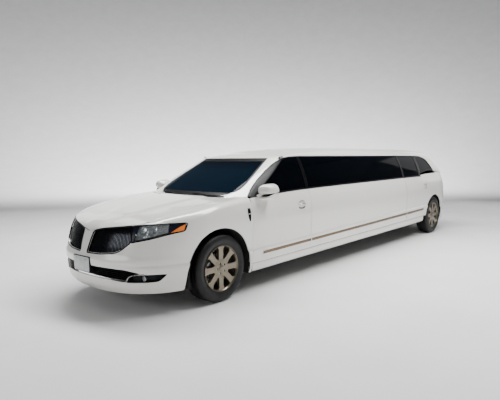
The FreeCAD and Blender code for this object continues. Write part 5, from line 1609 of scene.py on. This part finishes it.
# %% [markdown]
# ## Liftgate
# The liftgate is one pressing that starts on the roof, rolls over the rear edge, carries the window, steps
# out over the belt onto the tail, and ends at the bumper.  All of that is one grid: each row is a height on
# the way down, and the shape at the belt is a smooth mix of the cabin's rear and the tail.

# %% Rear faces as x over y and height
def tail_face(y, z):
    share = np.clip(np.abs(y) / through(LOWER, 2, z), 0, 0.99999)
    return TAIL_START - (through(LOWER, 3, z) - TAIL_DEPTH) * (1 - share ** BODY_POWER) ** (1 / BODY_POWER)


def hatch_face(y, z):
    share = np.clip(np.abs(y) / through(UPPER, 2, z), 0, 0.99999)
    return behind(through(UPPER, 3, z) - HATCH_DEPTH) - HATCH_DEPTH * (1 - share ** BODY_POWER) ** (1 / BODY_POWER)


def rear_face(y, z, inset=0.0):
    """The tail below the belt and the cabin's rear above it, mixed over 90 mm."""
    t = np.clip((z - 1.15) / 0.09, 0, 1)
    t = t * t * (3 - 2 * t)
    return tail_face(y, z) * (1 - t) + hatch_face(y, z) * t + inset


HATCH_EDGE = [(0.64, 0.56), (0.96, 0.639), (1.18, 0.639), (1.5, 0.56), (1.64, 0.558)]      # height, half width
s = np.linspace(-1, 1, 81)
down = np.concatenate([np.linspace(1.545, 1.25, 26), np.linspace(1.24, 1.12, 20), np.linspace(1.1, 0.646, 34)])[:, None]
low_y = s * through(HATCH_EDGE, 1, down)
low_part = joined(rear_face(low_y, down + 0 * low_y), low_y, down)
edge_y = s * 0.559
corner_z = settle(1.6 + 0 * s, lambda z: roof(hatch_face(edge_y, z), edge_y))
pull = joined(hatch_face(edge_y, corner_z), edge_y, corner_z + 0.002)
pull[:, 0] = np.minimum(pull[:, 0], behind(0.566))
start_x = behind(0.546) + (pull[:, 0] - behind(0.546)) * np.linspace(0, 0.55, 8)[:, None]
roof_part = joined(start_x, edge_y, roof(start_x, edge_y + 0 * start_x))
t = np.linspace(0, 1, 14)[1:-1, None, None]
over = bend(roof_part[-1], pull, low_part[0], t)
gate_sheet = np.concatenate([roof_part, over, low_part])
PLATE_BACK = behind(1.105)                # floor of the rear plate's recess
glass_hole = block([(-0.515, 1.252), (0.515, 1.252), (0.462, 1.52), (-0.462, 1.52)], behind(0.55), 0.03)
plate_hole = block([(-0.18, 0.735), (0.18, 0.735), (0.18, 0.905), (-0.18, 0.905)], PLATE_BACK, 0.02)
piece("liftgate_skin", "liftgate", pearl, "paint", [(gate_sheet, (-1, 0, 0.5))], thick=0.034, inner=trim,
    cut=[glass_hole, plate_hole])


def rear_sheet(outline_low, outline_high, z0, z1, columns, rows, inset):
    """Part of the rear face between two heights; the outlines give its half width there."""
    z = np.linspace(z0, z1, rows)[:, None]
    half = outline_low + (outline_high - outline_low) * (z - z0) / (z1 - z0)
    y = np.linspace(-1, 1, columns) * half
    return joined(rear_face(y, z + 0 * y, inset), y, z)


piece("liftgate_glass_pane", "liftgate", privacy, "tinted glass",
    [(rear_sheet(0.524, 0.47, 1.243, 1.529, 50, 20, 0.006), (-1, 0, 0.3))],
    thick=0.004)
band = np.stack([rim(rear_sheet(0.5145, 0.4615, 1.2525, 1.5195, 50, 20, 0.004)),
    rim(rear_sheet(0.49, 0.44, 1.275, 1.498, 50, 20, 0.004))])
piece("liftgate_glass_border", "liftgate", gloss_black, "trim", [(band, False, True, (-1, 0, 0.3))], thick=0.001)
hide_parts("liftgate")
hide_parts("liftgate_glass")

# %% Rear plate, handle bar, wiper and high brake lamp
rear_plate = panel_box(PLATE_BACK + 0.001, PLATE_BACK - 0.002, 0.152, 0.744, 0.894)
piece("blank_rear_plate", "liftgate", blank_plate, "plate", [rear_plate], closed=True, hem=0.0004)
bar_y = np.linspace(-0.3, 0.3, 50)
bar_line = joined(rear_face(bar_y, 0 * bar_y + 0.93) - 0.003, bar_y, 0.93)
piece("liftgate_handle_bar", "liftgate", chrome, "chrome", [swept(bar_line, 0.006, 0.013)], closed=True)
lamp_y = np.linspace(-0.16, 0.16, 30)
high_lamp = joined(rear_face(lamp_y, 0 * lamp_y + 1.5335) - 0.001, lamp_y, 1.5335)
piece("high_brake_lamp", "liftgate", ruby, "red lens", [swept(high_lamp, 0.004, 0.007)], closed=True)
wiper_y = np.linspace(-0.02, 0.36, 24)
arm = joined(rear_face(wiper_y, 1.262 + 0 * wiper_y) - 0.014, wiper_y, 1.262 + 0.004 * np.sin(wiper_y * 8))
piece("rear_wiper", "liftgate", satin_black, "dark plastic", [swept(arm, 0.004, 0.006)], closed=True)

# %% [markdown]
# ## Rear pillars and tail lamps
# Between the liftgate and the quarter window the cabin's corner closes round on the cabin's own rear
# surface.  The tail lamps wrap the corner below: a ribbed red lens over a dark housing.

# %% Rear pillars
z = np.concatenate([np.linspace(1.212, 1.5, 24), np.linspace(1.512, 1.598, 10)])[:, None]
t = np.linspace(0, 1, 16)
deep = through(UPPER, 3, z) - HATCH_DEPTH
side_x = 0.532 - deep
side_y = through(UPPER, 2, z) * (1 - np.clip(side_x / HATCH_DEPTH, 0, 0.99999) ** BODY_POWER) ** (1 / BODY_POWER)
gate_y = through(HATCH_EDGE, 1, z) + 0.004
gate_x = HATCH_DEPTH * (1 - (gate_y / through(UPPER, 2, z)) ** BODY_POWER) ** (1 / BODY_POWER)
a0, a1 = np.arctan2(side_y, side_x), np.arctan2(gate_y, gate_x)
pillar_rear = hatch(mix(a0, a1, t), z + 0 * t)
belt_z = 1.196 + 0 * t
tail_a0 = float(tail_turn(np.float64(behind(0.532)), 1.196))
tail_a1 = math.atan2(0.643, float(TAIL_START - tail_face(np.float64(0.643), 1.196)))
shelf = tail(mix(tail_a0, tail_a1, t), belt_z)[None]
corner_sheet = np.concatenate([shelf, pillar_rear])
shelf_x = np.linspace(behind(0.195), behind(0.534), 30)
outer_row = joined(shelf_x, flank(shelf_x, belt(shelf_x) - 0.004), belt(shelf_x) - 0.004)
inner_row = joined(shelf_x, cabin(shelf_x, 1.236 + 0 * shelf_x) - 0.001, 1.236)
shelf_side = np.stack([outer_row, outer_row * 0.5 + inner_row * 0.5 + [0, 0.004, 0.003], inner_row])
pair("rear_pillar", "body", pearl, "paint", [(corner_sheet, (-1, 1, 0.3)), (shelf_side, (0, 1, 1))], thick=0.016, inner=trim)

# %% Tail lamps
z = np.linspace(0.866, 0.992, 14)[:, None]
t = np.linspace(0, 1, 30)
foot_y = 0.657 + 0 * z
b0 = np.arctan2(foot_y, TAIL_START - tail_face(foot_y, z))
b1 = tail_turn(behind(0.856), z)
lens_rear = tail(mix(b0, b1, t), z + 0 * t, 0.003)
housing = tail(mix(b0, b1, t), z + 0 * t, 0.028)
pair("tail_lamp_housing", "body", gloss_black, "dark plastic", [(housing, (-1, 1, 0))], thick=0.003)
pair("tail_lamp_lens", "body", ruby, "red lens", [(lens_rear, (-1, 1, 0))], thick=0.01, hem=0.001)
reflector_z = np.linspace(0.395, 0.425, 6)[:, None]
c0, c1 = (np.arctan2(y, TAIL_START - tail_face(y, reflector_z)) for y in (0.6, 0.78))
reflector = tail(mix(c0, c1, t), reflector_z + 0 * t, -0.0015)
pair("rear_reflector", "body", ruby, "red lens", [(reflector, (-1, 1, 0))], thick=0.004)
for word, _ in SIDES:
    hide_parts("tail_lamps")
valance_z = np.linspace(0.215, 0.32, 8)[:, None]
valance_y = np.linspace(-0.62, 0.62, 60)
valance = joined(tail_face(valance_y, valance_z) - 0.002, valance_y, valance_z)
piece("rear_valance", "body", satin_black, "dark plastic", [(valance, BACKWARD)], thick=0.003)

# %% [markdown]
# ## Cowl panel, wipers and seals
# Below the windscreen a black louvred panel joins the bonnet to the glass, with two wipers parked on it.  A
# rubber seal runs along the foot of every side window.

# %% Cowl
y = np.linspace(-1, 1, 121) * 0.72
front_x = through(REAR_EDGE, 1, np.abs(y)) + 0.02
front = joined(front_x, y, lid(front_x, y) - 0.028)
back = on_screen(y, 1.088 + 0 * y, 0.004)
t = np.linspace(0, 1, 25)[:, None, None]
panel = mix(front, back, t)
panel[..., 2] += (0.0035 * np.sin(t[..., 0] * np.pi * 9) ** 8 - 0.01 * np.sin(t[..., 0] * np.pi)) * (np.abs(y) < 0.66)
piece("cowl_panel", "body", satin_black, "trim", [(panel, UP)], thick=0.003)
wipers = []
for y0, y1, z0, z1 in ((0.6, 0.04, 1.104, 1.122), (-0.03, -0.56, 1.1, 1.118)):
    t = np.linspace(0, 1, 30)
    run_y, run_z = y0 + (y1 - y0) * t, z0 + (z1 - z0) * t
    wipers.append(swept(on_screen(run_y, run_z, -0.01), 0.004, 0.006))
    pivot = on_screen(np.array([y0 + 0.02 * np.sign(y0 - y1)]), np.array([1.086]), -0.012)[0]
    elbow = on_screen(np.array([y0 * 0.6 + y1 * 0.4]), np.array([z0 * 0.6 + z1 * 0.4]), -0.026)[0]
    tip_at = on_screen(np.array([y0 * 0.5 + y1 * 0.5]), np.array([z0 * 0.5 + z1 * 0.5]), -0.016)[0]
    wipers.append(swept(along([pivot, elbow, tip_at], 14), 0.007, 0.006))
piece("windscreen_wipers", "body", satin_black, "dark plastic", wipers, closed=True)

# %% Belt seals
for owner, x0, x1 in (("front_door", FRONT_LEADING - 0.03, FRONT_TRAILING + 0.004),
        ("body", FRONT_TRAILING - 0.004, REAR_LEADING + 0.004),
        ("rear_door", REAR_LEADING - 0.004, behind(-0.58)), ("quarter", behind(-0.535), behind(0.2))):
    x = np.linspace(x0, x1, 60)
    line = joined(x, (flank(x, belt(x)) + cabin(x, belt(x))) / 2 - 0.001, belt(x) - 0.0035)
    pair("belt_seal_" + owner, owner + "_" if "door" in owner else "body", seal, "trim", [swept(line, 0.008, 0.0045, 2.2, 12)],
        closed=True)

# %% [markdown]
# ## Cabin
# Through the glass one sees leather seats, a dashboard, a long bench and a bar.  Each cushion is padded, so
# it is made in two steps: a block with rounded edges and pulled-in sides, then a short cloth simulation that
# blows it up like real foam under leather.  The seams are welts laid over it afterwards.

# %% A padded cushion
def pad(half, power=5.0, crown=0.1, waist=0.04):
    """A crowned closed block: a superellipsoid whose faces bulge and whose sides pull in between corners."""
    b = np.linspace(-np.pi / 2 + 0.001, np.pi / 2 - 0.001, 30)[:, None]
    a = circle(48)
    x, y = (signed(np.cos(b), 2 / power) * signed(v, 2 / power) for v in (np.cos(a), np.sin(a)))
    z = signed(np.sin(b), 2 / power) + 0 * a
    z = z * (1 + crown * (1 - x * x) * (1 - y * y))
    x, y = x * (1 - waist * (1 - y * y) * (np.abs(x) > 0.5)), y * (1 - waist * (1 - x * x) * (np.abs(y) > 0.5))
    return joined(x, y, z) * half


def leaned(points, centre, lean=0.0):
    """Points turned about the car's cross axis by lean degrees and moved to a centre."""
    a = math.radians(lean)
    x, y, z = np.moveaxis(points, -1, 0)
    return joined(x * math.cos(a) + z * math.sin(a), y, z * math.cos(a) - x * math.sin(a)) + np.array(centre)


def cushion(name, centre, half, lean=0.0):
    """A cushion of the cabin, blown up by a short cloth simulation and capped, with two welts round it.  half
    is its half size along the car, across it and up."""
    grid = leaned(pad(np.array(half) * 0.97), centre, lean)
    obj = linked(name, [looped(grid)], near=1e-3)
    even = obj.modifiers.new("even", "REMESH")
    even.mode, even.voxel_size = "VOXEL", 0.014
    applied(obj)
    before = np.empty(len(obj.data.vertices) * 3)
    obj.data.vertices.foreach_get("co", before)
    swell = obj.modifiers.new("swell", "CLOTH")
    swell.settings.use_pressure, swell.settings.uniform_pressure_force = True, 4.0
    swell.settings.effector_weights.gravity = 0.0
    swell.settings.quality = 4
    swell.point_cache.frame_start, swell.point_cache.frame_end = 1, 12
    for step in range(1, 13):
        bpy.context.scene.frame_set(step)
    applied(obj)
    bpy.context.scene.frame_set(1)
    after = np.empty(len(obj.data.vertices) * 3)
    obj.data.vertices.foreach_get("co", after)
    move = (after - before).reshape(-1, 3)
    length = np.linalg.norm(move, axis=1, keepdims=True)
    move *= np.minimum(1, 0.008 / np.maximum(length, 1e-9))
    obj.data.vertices.foreach_set("co", (before.reshape(-1, 3) + move).ravel())
    obj.data.update()
    finer = obj.modifiers.new("finer", "SUBSURF")
    finer.levels = finer.render_levels = 1
    applied(obj, 80)
    obj.data.materials.clear()
    obj.data.materials.append(hide)
    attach(obj, "body")
    a = circle(96)
    edge_x, edge_y = signed(np.cos(a), 0.4), signed(np.sin(a), 0.4)
    welts, c = [], circle(8)
    for level_at in (0.62, -0.62):
        loop = leaned(joined(edge_x * half[0] * 0.985, edge_y * half[1] * 0.985, half[2] * level_at), centre, lean)
        run = unit(np.roll(loop, -1, 0) - np.roll(loop, 1, 0))
        out = loop - np.array(centre)
        out = unit(out - run * (out * run).sum(1)[:, None])
        welts.append(looped(ringed(loop, 0.003 * out, 0.003 * np.cross(run, out), np.cos(c), np.sin(c)), True))
    piece(name + "_piping", "body", cream_hide, "leather", welts, closed=True)

# %% Front seats
for word, side in SIDES:
    y = 0.4 * side
    cushion(f"front_seat_cushion_{word}", (-1.42, y, 0.585), (0.25, 0.25, 0.075), lean=-7)
    cushion(f"front_seat_back_{word}", (-1.735, y, 0.905), (0.07, 0.24, 0.3), lean=-16)
    cushion(f"front_seat_headrest_{word}", (-1.845, y, 1.185), (0.045, 0.12, 0.07), lean=-12)
    for k, edge_way in enumerate((-1, 1)):
        cushion(f"front_seat_bolster_{word}_{k}", (-1.415, y + edge_way * 0.245, 0.615), (0.235, 0.035, 0.08), lean=-7)
    base = swept([(-1.24, y, 0.47), (-1.42, y, 0.46), (-1.62, y, 0.46)], [0.2, 0.21, 0.2], [0.055, 0.06, 0.055], 5.0, 28)
    piece(f"front_seat_base_{word}", "body", satin_black, "trim", [base], closed=True, crease=50)
    shell = leaned(pad(np.array([0.03, 0.225, 0.29]), 4.0, 0.0, 0.0), (-1.8, y, 0.885), -16)
    piece(f"front_seat_shell_{word}", "body", trim, "trim", [looped(shell)], closed=True, crease=50)
    posts = [swept([(-1.812, y + dy, 1.15), (-1.835, y + dy, 1.115), (-1.8, y + dy, 1.05)], 0.006, 0.006, 2.0, 12)
        for dy in (-0.05, 0.05)]
    piece(f"front_seat_posts_{word}", "body", chrome, "chrome", posts, closed=True)
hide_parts("front_seats")

# %% Lounge: side bench, rear seat and bar
for k in range(4):
    x = -2.53 - 0.545 * k
    cushion(f"side_bench_cushion_{k}", (x, 0.605, 0.555), (0.266, 0.17, 0.072))
    cushion(f"side_bench_back_{k}", (x, 0.735, 0.83), (0.266, 0.05, 0.2))
base = swept([(-2.262, 0.6, 0.405), (-3.35, 0.6, 0.405), (-4.438, 0.6, 0.405)], 0.16, 0.078, 8.0, 28)
piece("side_bench_base", "body", trim, "trim", [base], closed=True, crease=40)
for k in range(2):
    y = -0.29 + 0.58 * k
    cushion(f"rear_seat_cushion_{k}", (-5.43, y, 0.56), (0.24, 0.284, 0.075), lean=-5)
    cushion(f"rear_seat_back_{k}", (-5.775, y, 0.89), (0.07, 0.284, 0.27), lean=-15)
base = swept([(-5.22, 0, 0.405), (-5.45, 0, 0.405), (-5.7, 0, 0.405)], 0.56, 0.075, 8.0, 28)
piece("rear_seat_base", "body", trim, "trim", [base], closed=True, crease=40)
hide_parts("side_bench")
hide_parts("rear_seat")

# %% [markdown]
# ### Dashboard, wheel, bar and partition
# These are hard mouldings.  The dashboard is one section carried across the car; the wheel is a leather rim
# on four spokes; the bar is a lacquered cabinet with glass wells and a chrome edge.

# %% Dashboard and instruments
dash = np.array([(-0.48, 0.7), (-0.5, 1.01), (-0.56, 1.058), (-0.7, 1.066), (-0.82, 1.05), (-0.88, 1.02), (-0.9, 0.96),
    (-0.87, 0.86), (-0.84, 0.72), (-0.8, 0.62), (-0.64, 0.6), (-0.5, 0.64)])
dash = rounded(dash, 0.03, 5)
cross = np.linspace(-1, 1, 41)
bow = 0.05 * cross ** 2
dash_y = 0.78 * cross
dash_sheet = np.stack([joined(dash[:, 0] + b, y, dash[:, 1] - 0.02 * c ** 4) for y, b, c in zip(dash_y, bow, cross)])
piece("dashboard_moulding", "body", satin_black, "trim", [looped(dash_sheet)] + fans(dash_sheet[0], dash_sheet[-1]),
    closed=True, crease=50)
hood = swept([(-0.6, 0.37, 1.052), (-0.75, 0.37, 1.06), (-0.875, 0.37, 1.048)], [0.14, 0.165, 0.17], [0.02, 0.024, 0.026],
    3.0, 28)
piece("instrument_hood", "body", satin_black, "trim", [hood], closed=True)
console = swept([(-0.84, 0, 0.62), (-1.0, 0, 0.54), (-1.24, 0, 0.5)], [0.13, 0.12, 0.12], [0.12, 0.14, 0.15], 5.0, 28)
piece("centre_console", "body", trim, "trim", [console], closed=True, crease=50)
strip = np.linspace(-0.74, 0.74, 40)
wood = joined(-0.902 + 0.05 * (strip / 0.78) ** 2, strip, 0.955)
piece("dashboard_veneer", "body", veneer, "trim", [swept(wood, 0.006, 0.03, 4.0, 16)], closed=True)
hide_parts("dashboard")

# %% Steering wheel
wheel_low, wheel_high = (np.array(c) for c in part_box("steering_wheel"))
hub = (wheel_low + wheel_high) / 2 - [FRONT_AXLE, 0, 0]
axis = np.array([-310.0, 0.0, 165.0]) / math.hypot(310, 165)
side_axis, up_axis = np.array([0, 1.0, 0]), np.cross(axis, [0, 1.0, 0])
a = circle(72)
c = circle(16)
ring_out = side_axis * np.cos(a)[:, None] + up_axis * np.sin(a)[:, None]
rim_grid = hub + ring_out[:, None] * (0.185 + 0.014 * np.cos(c))[None, :, None] + axis * (0.014 * np.sin(c))[None, :, None]
piece("steering_rim", "steering_wheel", hide, "leather", [looped(rim_grid, True)], closed=True)
spokes = []
for angle in (0, math.pi, -math.pi / 2 - 0.5, -math.pi / 2 + 0.5):
    way = side_axis * math.cos(angle) + up_axis * math.sin(angle)
    path = [hub + way * r - axis * d for r, d in ((0.04, 0.012), (0.1, 0.008), (0.15, 0.003), (0.183, 0.0))]
    if abs(way[2]) > 0.99:
        path = [p + [0, 0.001 * i, 0] for i, p in enumerate(path)]
    spokes.append(swept(path, [0.01, 0.009, 0.008, 0.008], [0.018, 0.014, 0.012, 0.012], 3.0, 14))
piece("steering_spokes", "steering_wheel", satin_black, "trim", spokes, closed=True)
r = np.array([0.001, 0.045, 0.062, 0.066, 0.06, 0.001])
d = np.array([0.022, 0.018, 0.008, -0.004, -0.022, -0.024])
boss = hub + ring_out[None] * r[:, None, None] + axis * d[:, None, None]
piece("steering_boss", "steering_wheel", trim, "trim", [looped(boss)], closed=True)
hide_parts("steering_wheel")

# %% Bar cabinet and partition
bar_section = [(-0.79, 0.33), (-0.79, 0.86), (-0.585, 0.86), (-0.575, 0.84), (-0.59, 0.4), (-0.62, 0.33)]
bar_loop = rounded(bar_section, 0.012, 4)
xs = np.linspace(-2.262, -4.438, 50)
cabinet = np.stack([joined(x, bar_loop[:, 0], bar_loop[:, 1]) for x in xs])


def upright(x, profile):
    """The sheet of a profile of (radius, height) turned about an upright axis over the bar's top."""
    return looped(np.stack([joined(x + r * np.cos(a), -0.685 + r * np.sin(a), z) for r, z in profile]))


wells = [[upright(x0, [(0.000062, 0.8), (0.062, 0.8), (0.062, 0.95), (0.000062, 0.95)])]
    for x0 in (-2.6, -2.9, -3.2, -3.5, -3.8, -4.1)]
piece("bar_cabinet_body", "body", veneer, "trim", [looped(cabinet)] + fans(cabinet[0], cabinet[-1]), closed=True, cut=wells,
    crease=40)
tumbler = [(0.001, 0.803), (0.03, 0.803), (0.036, 0.885), (0.034, 0.885), (0.028, 0.81), (0.001, 0.81)]
piece("bar_tumblers", "body", crystal, "lamp lens", [upright(x0, tumbler) for x0 in (-2.6, -2.9, -3.5)])
edge_bar = swept(joined(np.linspace(-2.27, -4.43, 30), np.full(30, -0.572), np.full(30, 0.85)), 0.004, 0.008)
piece("bar_edge_trim", "body", chrome, "chrome", [edge_bar], closed=True)
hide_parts("bar_cabinet")
wall_y = np.linspace(-0.86, 0.86, 61)
wall_z = np.linspace(0.335, 1.09, 31)[:, None]
quilt = 0.006 * np.abs(np.sin(wall_y * 22)) * np.abs(np.sin(wall_z * 22))
fore = joined(-2.056 + quilt, wall_y, wall_z)
aft = joined(-2.074 - quilt, wall_y, wall_z)
border_ring = np.stack([rim(fore), rim(aft)])
piece("partition_quilted", "body", hide, "leather", [(fore, FORWARD), (aft, BACKWARD), looped(border_ring)],
    closed=True, crease=60)
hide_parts("partition")
mat_x, mat_y = np.meshgrid(np.linspace(-0.6, behind(0.98), 120), np.linspace(-0.8, 0.8, 30), indexing="ij")
mat_z = 0.3285 + 0.002 * np.sin(mat_x * 40) * np.sin(mat_y * 40)
mat_keep = joined(mat_x, mat_y * np.where(np.abs(mat_x - behind(0)) < 0.5, 0.78, 1.0), mat_z)
piece("cabin_carpet", "body", carpet, "trim", [(mat_keep, UP)])

# %% [markdown]
# ## Finishes on the frame's own parts
# Parts whose plain shape is right keep it and get a real surface: pressed steel under the car is coated in
# underseal, the engine and axle parts are cast iron, the exhaust is heat-stained steel.

# %% Carried-over nodes
exhaust_steel = coated("heat_stained_steel", "#6F6962", 0.38, metal=0.9, tint=(0.12, "#55504A", "#857C70"),
    bump=(0.003, 0.0001))
tank_plastic = coated("moulded_tank_plastic", "#101112", 0.6, tint=(0.2, "#0C0D0E", "#17181A"), bump=(0.004, 0.0003))
KEPT = {underseal: "floor_pan front_frame", cast: "engine rear_subframe knuckle_left knuckle_right",
    steel: "front_subframe struts hinges", exhaust_steel: "exhaust", tank_plastic: "fuel_tank", satin_black: "cowl"}
for coat, names in KEPT.items():
    for name in names.split():
        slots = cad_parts[name].data.materials
        slots.clear()
        slots.append(coat)
print("kept", sum(len(names.split()) for names in KEPT.values()))

# %% [markdown]
# ## What the new skins stand for
# Each skin replaces the plain solid of the frame that it was drawn from; the solid stays in the physics.

# %% Replace the plain solids
def stands_for(piece_name, *nodes):
    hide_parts(*nodes)


PAIRS = {"front_wing_left": ["wings"], "bonnet_skin": ["bonnet"], "front_bumper_skin": ["front_bumper"],
    "windscreen_glass": ["windscreen"],
    "roof_skin": ["roof_frame"], "rear_quarters_and_bumper": ["quarter_panels", "rear_bumper"],
    "stretch_panel_left": ["stretch_sides"],
    "stretch_window_pane_left": ["side_glass"]}
for name, nodes in PAIRS.items():
    stands_for(name, *nodes)
for word, side in SIDES:
    for end in ("front", "rear"):
        stands_for(f"{end}_door_skin_{word}", f"{end}_door_{word}")
        stands_for(f"{end}_door_window_pane_{word}", f"{end}_door_glass_{word}")
print("replaced")
